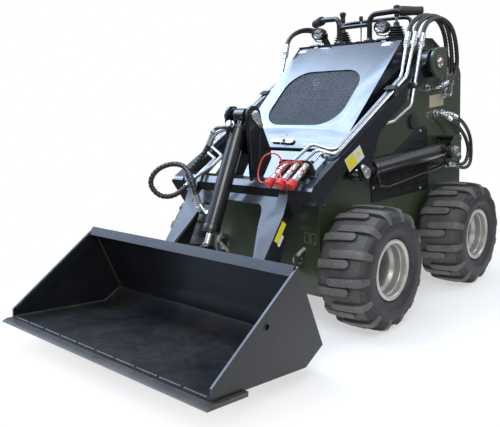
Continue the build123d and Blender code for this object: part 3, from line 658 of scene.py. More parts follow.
hose("tilt_hose_1", TILT_HOSES[0], "tilt_barrel", "loader_arms",
     ["tilt_hoses"], wrap=0.13)
hose("tilt_hose_2", TILT_HOSES[1], "loader_arms", "tilt_barrel",
     (), wrap=0.13)


# ------------------------------------------------------------------ fittings
def ferrule(g, p, d, length=0.036, r=0.0128, nut=True, mat="zinc"):
    """Crimped hose sleeve starting at p, going along d towards the hard tube, then its nut."""
    d = Vector(d).normalized()
    n = 5
    prof = [(0, r * 0.78), (0, r)]
    for i in range(n):
        a = length * (0.08 + 0.8 * i / n)
        b = length * (0.08 + 0.8 * (i + 0.55) / n)
        prof += [(a, r), (a + 0.0006, r * 0.91), (b, r * 0.91), (b + 0.0006, r)]
    prof += [(length * 0.96, r), (length, r * 0.8), (length, 0.0)]
    g.revolve(p, d, prof, mat, 20)
    if nut:
        g.hexa(p + d * (length + 0.001), d, r * 1.16, 0.014, mat, 0.4)
        g.revolve(p + d * (length + 0.015), d, [(0, r * 0.95), (0.004, r * 0.95), (0.006, r * 0.7)], mat, 18)


TUBE_STARTS = {
    1: [((330, 424, 1110), (330, 368, 941)), ((352, 443, 1110), (352, 375, 943)),
        ((373, 469, 1104), (373, 402, 906))],
    -1: [((-330, 424, 1110), (-330, 368, 941)), ((-352, 443, 1110), (-352, 375, 943))],
}
for sname, s in (("left", 1), ("right", -1)):
    g = Geo()
    for a, b in TUBE_STARTS[s]:
        a, b = P(*a), P(*b)
        u = (b - a).normalized()
        ferrule(g, a - u * 0.012, u, 0.040)
    g.make(f"tube_ferrules_{sname}", "loader_arms")

    # black rubber-lined clamps over the tube pairs
    g = Geo()
    for y in (278,):
        t = 566 + (y + 277) * 464 / 850
        k = 464 / 850
        lo, hi = y - 13, y + 13
        o = [P(s * 319, lo, t - 13 * k + 0.2), P(s * 319, hi, t + 13 * k + 0.2),
             P(s * 319, hi, t + 13 * k + 31), P(s * 319, lo, t - 13 * k + 31)]
        g.prism(o, (s * 0.044, 0, 0), "rubber", 0.003, 3)
        up = Vector((0, -math.sin(math.atan(k)), math.cos(math.atan(k))))
        for x in (324.5, 341, 357.5):
            g.bolt(P(s * x, y, t + 31.2), up, 0.0028, "rubber")
        g.prism([p + Vector((s * -0.001, 0, 0)) + up * 0.0302 for p in o[:2]]
                + [p + Vector((s * 0.045, 0, 0)) + up * 0.0302 for p in reversed(o[:2])],
                up * 0.0018, "rubber", 0.0005, 1)
    if s > 0:
        g.prism([P(364.8, 387, 891), P(364.8, 413, 891), P(364.8, 413, 915), P(364.8, 387, 915)],
                (0.017, 0, 0), "rubber", 0.003, 3)
        g.bolt(P(381.6, 400, 909), (1, 0, 0), 0.0028, "zinc")
    g.make(f"tube_clamps_{sname}", "loader_arms")

# elbows and adaptors on the side plates
HOSE_STUBS = (
    [(320, 801, 962.4), (320, 800, 884), (295.1, 800, 884)],
    [(340, 807, 937.4), (340, 806, 858), (295.1, 806, 858)],
    [(356, 703.4, 909.8), (352, 650, 892), (295.1, 650, 892)],
)
LIFT_STUBS = (
    [(330, 855.4, 760.2), (330, 796, 777), (295.1, 796, 777)],
    [(338, 783.4, 755.2), (338, 728, 777), (295.1, 728, 777)],
)
g = Geo()
for s in (1, -1):
    for route in (HOSE_STUBS if s > 0 else HOSE_STUBS[:2]) + LIFT_STUBS:
        a, b, c = (P(*q) for q in mir(route, s))
        u, w = (b - a).normalized(), (c - b).normalized()
        ferrule(g, a - u * 0.022, u, 0.040, nut=False)
        r = 0.016
        arc = [b - u * r * (1 - t) ** 2 * 1.0 + w * r * t ** 2 for t in [i / 8 for i in range(9)]]
        g.sweep([a + u * 0.010] + arc + [c], 0.0068, "zinc", 16)
        g.hexa(a + u * 0.020, u, 0.0125, 0.013, "zinc", 0.2)
        g.hexa(c - w * 0.018, w, 0.0138, 0.012, "zinc", 0.5)
        g.revolve(c - w * 0.0065, w, rounded([(0, 0.0095), (0, 0.017), (0.0065, 0.017), (0.0065, 0.0)], 0.001, 2),
                  "zinc", 24)
g.make("hose_elbows", "chassis", ["hose_stubs"])

# ferrules at the cylinders' ports
for sname, s in (("left", 1), ("right", -1)):
    g = Geo()
    for x, z, d in ((328, 532.7, (0, -33.4, 4.3)), (348, 534.8, (0, -39.4, 5.7))):
        d = Vector((0, d[1], d[2])).normalized()
        a = P(s * x, 799, z)
        ferrule(g, a - d * 0.022, d, 0.036)
    g.make(f"lift_port_fittings_{sname}", f"lift_barrel_{sname}")
g = Geo()
a, b = P(-92.6, -316.2, 722.8), P(-64, -307, 779)
u = (b - a).normalized()
ferrule(g, a - u * 0.024, u, 0.044)
a, b = P(-80.2, -411.2, 498.6), P(-72, -406, 456)
u = (b - a).normalized()
ferrule(g, a - u * 0.026, u, 0.044)
for p, d in ((P(-9, -290, 776), (-2, -26, 11)), (P(-24, -401, 453), (-48, -5, 3))):
    d = Vector(d).normalized()
    g.hexa(p, d, 0.0145, 0.016, "zinc", 0.3)
    g.revolve(p - d * 0.002, d, rounded([(0, 0), (0, 0.0165), (0.003, 0.0165), (0.003, 0)], 0.0006, 1), "zinc", 24)
g.make("tilt_port_fittings", "tilt_barrel")
g = Geo()
for a, b in (((-193.7, -351, 568.2), (-204, -336, 556)), ((-219, -330, 545), (-227, -228, 600))):
    a, b = P(*a), P(*b)
    u = (b - a).normalized()
    ferrule(g, a - u * 0.022, u, 0.036)
g.make("boom_front_fittings", "loader_arms")


# ------------------------------------------------------------------ quick couplers
def couplers():
    g = Geo()
    # upright bracket plate with cut corners, and its rib
    out = rounded([(168, 572.2), (174, 640), (183, 649), (312, 649), (326, 640), (338, 614), (336, 594), (309.5, 594),
                   (309.5, 572.2)], 9, 4, True)
    g.prism([P(x, -234, z) for x, z in out], (0, 0.006, 0), "black", 0.0012, 2)
    g.prism([P(168, -228, 572.2), P(168, -228, 640), P(168, -206, 572.2)], (0.006, 0, 0), "black", 0.001, 1)
    g.bead(P(172, -235, 573), P(308, -235, 573), 0.0026)
    for i, (x, lean) in enumerate(((212, -16), (260, -9), (303, -4))):
        a, b = P(x, -227, 636), P(x + lean, -338, 559)
        d = (b - a).normalized()
        # adaptor through the plate, its nut, then the coupler's body
        g.hexa(a + d * 0.006, d, 0.0128, 0.010, "nut", 0.2)
        g.revolve(a + d * 0.016, d, rounded([(0, 0), (0, 0.0112), (0.014, 0.0105), (0.016, 0.0092), (0.016, 0)], 0.001, 2), "nut", 24)
        g.hexa(a + d * 0.030, d, 0.0126, 0.014, "zinc", 0.7)
        prof = [(0.044, 0.009), (0.044, 0.0122), (0.047, 0.0130), (0.062, 0.0130), (0.063, 0.0120),
                (0.066, 0.0120), (0.067, 0.0134), (0.092, 0.0134), (0.093, 0.0122), (0.112, 0.0122), (0.112, 0)]
        g.revolve(a, d, rounded(prof, 0.0006, 1), "zinc", 28)
        for k in range(4):
            g.revolve(a + d * (0.070 + 0.0052 * k), d, [(0, 0.0134), (0.0006, 0.0139), (0.0022, 0.0139), (0.0028, 0.0134)],
                      "zinc", 28)
        # dust cap with its ribs and end flange
        big = 1.18 if i == 1 else 1.0
        prof = [(0.092, 0.0136 * big), (0.092, 0.0154 * big), (0.095, 0.0160 * big), (0.114, 0.0162 * big),
                (0.1155, 0.0176 * big), (0.1195, 0.0178 * big), (0.1225, 0.0160 * big), (0.1235, 0.0125 * big), (0.1225, 0)]
        g.revolve(a, d, rounded(prof, 0.0012, 3), "red", 36)
        u, w, _ = basis(d)
        for k in range(16):
            t = 2 * math.pi * k / 16
            q = a + (u * math.cos(t) + w * math.sin(t)) * 0.0160 * big
            g.sweep([q + d * 0.096, q + d * 0.105, q + d * 0.1145], 0.0010, "red", 6)
        # strap eye on the cap's side and ring on the body
        g.revolve(a + d * 0.108 + Vector((0, 0, 0.0165 * big)), (1, 0, 0.1), rounded([(-0.003, 0), (-0.003, 0.0042), (0.003, 0.0042), (0.003, 0)], 0.0006, 1), "red", 16)
        g.revolve(a + d * 0.0455, d, rounded([(-0.0015, 0.0118), (-0.0015, 0.0150), (0.0015, 0.0150), (0.0015, 0.0118)], 0.0005, 1), "red", 28, closed=True)
    g.make("quick_couplers", "loader_arms", ["coupler_block"])


couplers()
LANYARDS = (
    [(211, -262, 629), (214, -262, 650), (196, -272, 676), (158, -292, 672), (140, -306, 628),
     (144, -318, 588), (168, -328, 572), (196, -331, 577)],
    [(259, -262, 629), (262, -264, 648), (238, -276, 646), (214, -294, 628), (222, -310, 602),
     (240, -320, 588), (252, -330, 584)],
    [(303, -262, 629), (312, -266, 642), (292, -274, 654), (262, -284, 640), (236, -296, 622),
     (246, -314, 600), (276, -326, 588), (298, -331, 582)],
)
for i, route in enumerate(LANYARDS):
    hose(f"cap_lanyard_{i + 1}", route, "loader_arms", "loader_arms", (), 0.0, 0.0030,
         "red", 0.003, 10)


# ------------------------------------------------------------------ pins, keepers, bosses
def keeper(g, pin, bolt, x, s, r=19, r2=10, t=0.004, mat="zinc", screw="zinc"):
    """Teardrop keeper plate on a face at x, with the pin's end and its bolt."""
    (py, pz), (by, bz) = pin, bolt
    d = math.atan2(bz - pz, by - py)
    L = math.hypot(by - py, bz - pz)
    half = math.acos(max(-1, min(1, (r - r2) / L)))
    out = []
    for i in range(17):
        a = d + half + (2 * math.pi - 2 * half) * i / 16
        out.append(P(x, py + r * math.cos(a), pz + r * math.sin(a)))
    for i in range(9):
        a = d - half + 2 * half * i / 8
        out.append(P(x, by + r2 * math.cos(a), bz + r2 * math.sin(a)))
    g.prism(out, (s * t, 0, 0), mat, 0.0012, 3)
    dx = Vector((s, 0, 0))
    p = P(x, py, pz) + dx * t
    g.revolve(p, dx, rounded([(-0.001, 0), (-0.001, r * 0.00078), (0.0018, r * 0.00078), (0.0022, r * 0.0006), (0.0016, 0)],
                             0.0005, 2), mat, 28)
    g.bolt(P(x, by, bz) + dx * t, dx, r2 * 0.00038, screw)


g = Geo()
keeper(g, (-235, 807), (-209, 771), 64.3, 1, 20, 11, screw="brass")
# round bosses of the bracket's pin on both plates
for x, d in ((-64, -1), (48, -1), (-48, 1)):
    g.revolve(P(x, -235, 807), (d, 0, 0), rounded([(0, 0), (0, 0.030), (0.004, 0.030), (0.0045, 0.026), (0.0045, 0)],
                                                0.001, 2), "black", 40)
g.revolve(P(-70, -235, 807), (-1, 0, 0), rounded([(0, 0), (0, 0.0225), (0.008, 0.0225), (0.010, 0.016), (0.0105, 0)],
                                                 0.001, 2), "black", 36)
# cross plate between the two sides
g.prism([P(-48, -188, 744), P(48, -188, 744), P(48, -152, 652), P(-48, -152, 652)], (0, 0.004, 0.001),
        "black", 0.001, 1)
g.bead(P(64, -262, 608), P(64, -270, 788), 0.0016)
g.bead(P(64, -220, 608), P(64, -211, 738), 0.0016)
# welds of the bracket on the beam
for x in (-61, -47, 47, 61):
    g.bead(P(x, -258, 573), P(x, -200, 573), 0.0032)
for x in (-60, 48):
    g.bead(P(x, -262, 573), P(x + 12, -262, 573), 0.003)
g.make("tilt_bracket_details", "loader_arms")

for sname, s in (("left", 1), ("right", -1)):
    g = Geo()
    keeper(g, (42, 579), (10, 604), s * 372, s, 21, 11, 0.005)
    g.make(f"rod_pin_keeper_{sname}", "loader_arms")
    g = Geo()
    dx = Vector((s, 0, 0))
    # boom pivot: machined pin end with grease nipple
    p = P(s * 405, 568, 998)
    g.revolve(p, dx, rounded([(-0.005, 0.021), (0.001, 0.021), (0.004, 0.0185), (0.0055, 0.012), (0.004, 0.0075), (0.004, 0)],
                             0.0008, 2), "zinc", 36)
    g.revolve(p + dx * 0.004, dx, [(0, 0.007), (0.003, 0.007), (0.0045, 0.0035), (0.0075, 0.003), (0.0085, 0.0015), (0.0085, 0)],
              "red", 16)
    g.revolve(P(s * 400, 568, 998), dx, rounded([(0, 0.022), (0, 0.033), (0.003, 0.033), (0.003, 0.022)], 0.0008, 2),
              "green", 40)
    keeper(g, (731, 610), (760, 588), s * 400.2, s, 21, 10, 0.004)
    p = P(s * 405, 731, 610)
    g.hexa(p, dx, 0.017, 0.008, "zinc", 0.3)
    for y, z in ((630, 1048), (630, 950), (782, 660), (782, 575)):
        g.bolt(P(s * 400, y, z), dx, 0.004, "green", dome=True)
    # welds round the bracket plates
    g.bead(P(s * 297, 591, 1056), P(s * 387, 591, 1056), 0.003, "green")
    g.bead(P(s * 296, 633, 942), P(s * 296, 633, 1054), 0.003, "green")
    g.bead(P(s * 296, 781, 567), P(s * 296, 781, 666), 0.003, "green")
    g.bead(P(s * 296, 745, 667), P(s * 296, 780, 667), 0.003, "green")
    g.make(f"bracket_pins_{sname}", "chassis")


# ------------------------------------------------------------------ hood: mesh, latch, trim
(HY0, HZ0), (HY1, HZ1), (HY2, HZ2) = (8.0, 668.0), (63.0, 736.0), (456.0, 1096.0)
SL = math.atan2(HZ2 - HZ1, HY2 - HY1)
GU = Vector((0, math.cos(SL), math.sin(SL)))
GN = Vector((0, -math.sin(SL), math.cos(SL)))
GO = P(-7, HY1 + 196 * math.cos(SL), HZ1 + 196 * math.sin(SL))


def on_grille(x, v, up=0.0):
    """Point on the hood's upper face: x across, v up the slope from its middle, mm."""
    return GO + Vector((x / 1000, 0, 0)) + GU * (v / 1000) + GN * (up / 1000)


def in_rounded(x, y, w, h, r):
    ax, ay = abs(x) - (w / 2 - r), abs(y) - (h / 2 - r)
    if ax <= 0 or ay <= 0:
        return abs(x) <= w / 2 and abs(y) <= h / 2
    return math.hypot(ax, ay) <= r


def mesh_panel():
    """Expanded metal: slanted strands between staggered knots."""
    g = Geo()
    pw, ph, t, wd = 12.4, 8.8, 1.3, 2.1
    for j in range(-41, 42):
        for i in range(-18, 19):
            x0 = (i + (0.5 if j % 2 else 0.0)) * pw
            y0 = j * ph / 2
            for sgn in (1, -1):
                x1, y1 = x0 + sgn * pw / 2, y0 + ph / 2
                mx, my = (x0 + x1) / 2, (y0 + y1) / 2
                if not in_rounded(mx, my, 420, 354, 116):
                    continue
                a = on_grille(x0, y0, -7.4)
                b = on_grille(x1, y1, -7.4)
                d = (b - a).normalized()
                side = GN.cross(d).normalized()
                tilt = (side * math.cos(0.5) + GN * math.sin(0.5)).normalized()
                nn = d.cross(tilt).normalized()
                h, k = tilt * wd / 2000, nn * t / 2000
                vs = [a - h - k, a + h - k, a + h + k, a - h + k, b - h - k, b + h - k, b + h + k, b - h + k]
                g.add(vs, [[0, 1, 2, 3], [7, 6, 5, 4], [0, 4, 5, 1], [1, 5, 6, 2], [2, 6, 7, 3], [3, 7, 4, 0]],
                      "grille")
    # folded rim of the panel behind the opening
    rim = []
    for q in range(4):
        cx, cy = ((1, 1), (-1, 1), (-1, -1), (1, -1))[q]
        for a in range(0, 91, 10):
            t = math.radians(a + 90 * q)
            rim.append(((210 - 116) * cx + 115 * math.cos(t), (177 - 116) * cy + 115 * math.sin(t)))
    g.sweep([on_grille(x, y, -8.2) for x, y in rim + rim[:1]], 0.003, "grille", 8, caps=False)
    g.make("hood_mesh", "hood", ["hood_grille"], 30)


mesh_panel()


def hood_trim():
    g = Geo()
    # paddle latch on the lower face
    lo = Vector((0, math.cos(math.atan2(68, 55)), math.sin(math.atan2(68, 55))))
    nn = Vector((0, -lo.z, lo.y))
    o = P(-30, HY0 + 18, HZ0 + 22.3)

    def q(x, v, up):
        return o + Vector((x, 0, 0)) / 1000 + lo * v / 1000 + nn * up / 1000
    out = []
    for i in range(13):
        a = math.pi / 2 + math.pi * i / 12
        out.append(q(-50 + 9 * math.cos(a), 9 * math.sin(a), 3))
    for i in range(13):
        a = -math.pi / 2 + math.pi * i / 12
        out.append(q(50 + 13 * math.cos(a), 13 * math.sin(a), 3))
    g.prism(out, nn * 0.007, "zinc", 0.003, 3)
    g.revolve(q(14, 0, 0), nn, rounded([(0, 0), (0, 0.011), (0.004, 0.011), (0.012, 0.008), (0.022, 0.007), (0.0235, 0)],
                                       0.0015, 2), "zinc", 24)
    g.sweep([q(14, 0, 18), q(12, 8, 26), q(16, 22, 24), q(20, 26, 8)], 0.0011, "zinc", 8)
    g.sweep([q(14, -2, 10), q(8, -14, 16), q(8, -28, 12)], 0.0011, "zinc", 8)
    # rubber edge strip along the hood's lower lip
    g.sweep([P(-282, HY0 + 1, HZ0 - 3), P(282, HY0 + 1, HZ0 - 3)], 0.0036, "rubber", 10)
    for x in (-230, -150, 90, 220):
        g.bolt(P(x, HY0 + 9, HZ0 + 11.3), nn, 0.0026, "zinc", dome=True)
    # small blank plates at the top corners
    for x in (-238, 222):
        o2 = [on_grille(x - 22, 306, 0.1), on_grille(x + 22, 306, 0.1), on_grille(x + 22, 327, 0.1),
              on_grille(x - 22, 327, 0.1)]
        g.prism(o2, GN * 0.0012, "white", 0.0004, 1)
    g.make("hood_trim", "hood")


hood_trim()


# ------------------------------------------------------------------ louvred side covers
VENT = [(187, 435), (669, 435), (656, 700), (640, 722), (583, 724), (345, 618), (182, 571)]


def vents():
    g = Geo()
    for s in (1, -1):
        out = rounded(VENT, 14, 4, closed=True)
        g.prism([P(s * 295.1, y, z) for y, z in out], (s * 0.0032, 0, 0), "vent", 0.0012, 2)
        rows = [(455, 205, 650), (484, 205, 650), (513, 205, 650), (542, 205, 650), (598, 365, 640),
                (630, 440, 640), (662, 505, 636), (692, 555, 632)]
        for z, y0, y1 in rows:
            n = max(1, int((y1 - y0) / 98))
            w = (y1 - y0) / n
            for i in range(n):
                a, b = y0 + i * w + 8, y0 + (i + 1) * w - 8
                x = s * 298.2
                e = s * 2.8
                pts = []
                for yy in (a, a + 8, b - 8, b):
                    k = 0.0 if yy in (a, b) else 1.0
                    pts.append([P(x, yy, z + 11), P(x + e * 0.55 * k, yy, z + 5), P(x + e * k, yy, z - 1),
                                P(x + e * 0.9 * k, yy, z - 2.2), P(x, yy, z - 2.2)])
                vs = [p for r_ in pts for p in r_]
                fs = []
                for i2 in range(3):
                    for j in range(3):
                        q = [i2 * 5 + j, (i2 + 1) * 5 + j, (i2 + 1) * 5 + j + 1, i2 * 5 + j + 1]
                        fs.append(q if s > 0 else q[::-1])
                g.add(vs, fs, "vent")
                # the louvre's open underside is closed with near-black painted shade
                slot_f = [[i2 * 5 + 3, (i2 + 1) * 5 + 3, (i2 + 1) * 5 + 4, i2 * 5 + 4] for i2 in range(3)]
                g.add(vs, slot_f if s > 0 else [q[::-1] for q in slot_f], "dark")
                # painted shadow under the lip: a thin near-black sheet on the cover
                o = [P(s * 298.15, a + 4, z - 2.4), P(s * 298.15, b - 4, z - 2.4), P(s * 298.15, b - 6, z - 8),
                     P(s * 298.15, a + 6, z - 8)]
                g.prism(o, (s * 0.0005, 0, 0), "dark", 0)
        for y, z in ((588, 704), (200, 497), (588, 446)):
            g.bolt(P(s * 298.3, y, z), (s, 0, 0), 0.0034, "nut", dome=True)
        # rubber plug above the cover
        g.revolve(P(s * 295.1, 521, 749), (s, 0, 0),
                  rounded([(0, 0), (0, 0.0330), (0.012, 0.0318), (0.016, 0.0275), (0.017, 0)], 0.002, 3), "rubber", 40)
    g.make("louvre_covers", "chassis", ["side_vent_panels"])


vents()


# ------------------------------------------------------------------ controls
def controls():
    g = Geo()
    for s in (1, -1):
        o = P(s * 150, 637, 1114.5)
        # boot: round flange, five folds, collar
        prof = [(0, 0), (0, 0.049), (0.004, 0.049), (0.006, 0.044)]
        n = 5
        for i in range(n):
            z0 = 0.007 + i * 0.0112
            r0 = 0.0465 - i * 0.0040
            prof += [(z0, r0 - 0.0115), (z0 + 0.0046, r0), (z0 + 0.0062, r0), (z0 + 0.0112, r0 - 0.0130)]
        prof += [(0.066, 0.015), (0.074, 0.0135), (0.080, 0.0125), (0.080, 0)]
        g.revolve(o, (0, 0, 1), rounded(prof, 0.0007, 1), "rubber", 48)
        g.revolve(P(s * 150, 637, 1190), (0, 3, 52), [(0, 0.0065), (0.034, 0.0065)], "lever", 18)
        prof = [(0, 0.006), (0.001, 0.009), (0.006, 0.0115), (0.014, 0.0120), (0.026, 0.0112), (0.040, 0.0150),
                (0.047, 0.0155), (0.0515, 0.012), (0.0535, 0.006), (0.0535, 0)]
        g.revolve(P(s * 150, 640, 1218), (0, 0, 1), rounded(prof, 0.0015, 2), "rubber", 36)
        for k in range(4):
            a = P(s * 150, 637, 1115) + Vector((0.039 * math.cos(k * math.pi / 2 + 0.78), 0.039 * math.sin(k * math.pi / 2 + 0.78), 0.004))
            g.bolt(a, (0, 0, 1), 0.0024, "zinc", dome=True)
    g.make("control_levers", "chassis", ["joysticks"])

    g = Geo()
    for s in (1, -1):
        # moulded grips over the bar's ends
        a, b = P(s * 205, 550, 1232), P(s * 300, 612, 1226)
        d = (b - a).normalized()
        L = (b - a).length
        prof = [(0.010, 0.0122), (0.010, 0.0185), (0.014, 0.0215), (0.024, 0.0215)]
        k = 0
        t = 0.028
        while t < L - 0.016:
            prof += [(t, 0.0196 + 0.0012 * math.sin(t * 60)), (t + 0.0045, 0.0206 + 0.0012 * math.sin(t * 60))]
            t += 0.009
        prof += [(L - 0.010, 0.0200), (L - 0.003, 0.0185), (L - 0.0005, 0.012), (L - 0.0005, 0)]
        g.revolve(a, d, rounded(prof, 0.0008, 1), "rubber", 32)
        # flange where the bar meets the console
        g.revolve(P(s * 82, 516, 1110), (0, 0, 1), rounded([(0, 0.012), (0, 0.026), (0.004, 0.026), (0.006, 0.0165), (0.014, 0.0125)],
                                                          0.001, 2), "black", 32)
        for k in range(3):
            t = k * 2.094 + 0.5
            g.bolt(P(s * 82, 516, 1114) + Vector((0.0205 * math.cos(t), 0.0205 * math.sin(t), 0)), (0, 0, 1),
                   0.0022, "zinc", washer=False, dome=True)
        g.bead(P(s * 70, 516, 1182), P(s * 71.5, 516, 1182), 0.010, "black")
    g.make("grips", "chassis")

    g = Geo()
    # small throttle lever, rear cross bar and instruments
    g.sweep([P(15, 548, 1109), P(15, 550, 1160), P(14, 552, 1208)], 0.0036, "zinc", 12)
    g.revolve(P(14, 552, 1206), (0, 0, 1), rounded([(0, 0.004), (0.002, 0.008), (0.012, 0.0095), (0.022, 0.0085), (0.024, 0)],
                                                  0.002, 3), "rubber", 24)
    g.rbox(P(4, 520, 1109.5), P(26, 580, 1115), "black", 0.0015)
    g.sweep(resample(spline("rest_bar", [P(-196, 676, 1116), P(-196, 690, 1180), P(-190, 690, 1216), P(-130, 680, 1219),
                                         P(0, 676, 1219), P(130, 680, 1219), P(190, 690, 1216), P(196, 690, 1180),
                                         P(196, 676, 1116)]), 0.006)[0], 0.0085, "black", 16)
    # instrument panel on the sloping rear face of the console
    sl = Vector((0, 279, -127)).normalized()
    nn = Vector((0, 127, 279)).normalized()

    def q(x, v, up=0.0):
        return P(x, 705, 1115) + Vector((x * 0, 0, 0)) + sl * v / 1000 + nn * up / 1000
    pl = rounded([(-150, 40), (150, 40), (150, 190), (-150, 190)], 14, 4, True)
    g.prism([q(x, v, 0.1) for x, v in pl], nn * 0.003, "black", 0.001, 2)
    for x, v, r in ((-95, 90, 0.026), (-95, 150, 0.018), (100, 90, 0.017)):
        c = q(x, v, 3.0)
        g.revolve(c, nn, rounded([(0, 0), (0, r), (0.006, r), (0.008, r * 0.86), (0.0055, r * 0.80), (0.0055, 0)], 0.0008, 2),
                  "rubber", 40)
        g.revolve(c + nn * 0.0056, nn, [(0, 0), (0, r * 0.78), (0.0006, r * 0.78), (0.0006, 0)], "white", 40)
        if r > 0.02:
            g.rbox(c + nn * 0.0062 - Vector((0.0008, 0.001, 0.0)), c + nn * 0.0075 + Vector((0.0008, 0.014, 0.0)), "red", 0.0003, 1)
    c = q(100, 90, 9)
    g.prism([c + Vector((-0.002, 0, 0)) - sl * 0.012, c + Vector((0.002, 0, 0)) - sl * 0.012,
             c + Vector((0.002, 0, 0)) + sl * 0.012, c + Vector((-0.002, 0, 0)) + sl * 0.012], nn * 0.016, "zinc", 0.001, 1)
    for x in (-20, 10, 40):
        g.prism([q(x - 9, 78, 3), q(x + 9, 78, 3), q(x + 9, 106, 3), q(x - 9, 106, 3)], nn * 0.006, "rubber", 0.002, 2)
    for x, v in ((-141, 49), (141, 49), (141, 181), (-141, 181)):
        g.bolt(q(x, v, 3), nn, 0.0026, "zinc", dome=True)
    # fuel cap
    g.revolve(q(200, 120, 0), nn, rounded([(0, 0), (0, 0.036), (0.006, 0.036), (0.007, 0.031), (0.024, 0.030), (0.028, 0.026), (0.028, 0)],
                                          0.002, 3), "rubber", 48)
    for k in range(20):
        t = 2 * math.pi * k / 20
        u, w, _ = basis(nn)
        r_ = (u * math.cos(t) + w * math.sin(t)) * 0.0302
        g.sweep([q(200, 120, 8) + r_, q(200, 120, 23) + r_], 0.0014, "rubber", 6)
    g.make("console_details", "chassis")

    # work lights
    g = Geo()
    for s in (1, -1):
        c = P(s * 173, 506, 1161)
        d = Vector((0, -1, 0))
        prof = [(0.0, 0), (0.0, 0.016), (0.004, 0.020), (0.006, 0.0285), (0.009, 0.0285), (0.009, 0.022), (0.012, 0.022),
                (0.012, 0.030), (0.015, 0.030), (0.015, 0.024), (0.018, 0.024), (0.018, 0.0315), (0.0215, 0.0315),
                (0.0215, 0.026), (0.025, 0.026), (0.027, 0.0325), (0.042, 0.0330), (0.044, 0.0310), (0.044, 0.0285),
                (0.040, 0.0270), (0.034, 0.021), (0.030, 0.010), (0.0295, 0)]
        g.revolve(c, d, rounded(prof, 0.0006, 1), "rubber", 48)
        g.revolve(c + d * 0.0303, d, [(0, 0.0), (0.0004, 0.010), (0.004, 0.0195), (0.0085, 0.0262), (0.0088, 0.0262), (0.0044, 0.0190), (0.0010, 0.0095), (0.0008, 0)],
                  "reflect", 48)
        for k in range(6):
            t = k * math.pi / 3
            p = c + d * 0.0335 + Vector((0.0125 * math.cos(t), 0, 0.0125 * math.sin(t)))
            g.revolve(p, d, [(0, 0), (0, 0.0052), (0.003, 0.0045), (0.0034, 0)], "white", 16)
        g.revolve(c + d * 0.0412, d, rounded([(0, 0), (0, 0.0276), (0.0016, 0.0276), (0.0022, 0.018), (0.0024, 0)], 0.0003, 1),
                  "glass", 48)
        # yoke and foot
        g.sweep(resample(spline("yoke", [P(s * 173 - 35, 488, 1161), P(s * 173 - 37, 490, 1138), P(s * 173 - 24, 491, 1122),
                                         P(s * 173, 492, 1120), P(s * 173 + 24, 491, 1122), P(s * 173 + 37, 490, 1138),
                                         P(s * 173 + 35, 488, 1161)]), 0.004)[0], 0.0028, "black", 10)
        for k in (-1, 1):
            g.bolt(P(s * 173 + k * 33, 488, 1161), (k, 0, 0), 0.003, "zinc", dome=True)
        g.revolve(P(s * 173, 492, 1108), (0, 0, 1), rounded([(0, 0), (0, 0.012), (0.004, 0.012), (0.005, 0.007), (0.014, 0.006), (0.014, 0)],
                                                           0.0008, 2), "zinc", 24)
    # the housings are wider than they are high
    for i, (x, y, z) in enumerate(g.v):
        if z > 1.118:
            cx = 0.173 if x > 0 else -0.173
            g.v[i] = (cx + (x - cx) * 1.10, y, 1.161 + (z - 1.161) * 0.86)
    g.make("lamps", "chassis", ["work_lights"])


controls()


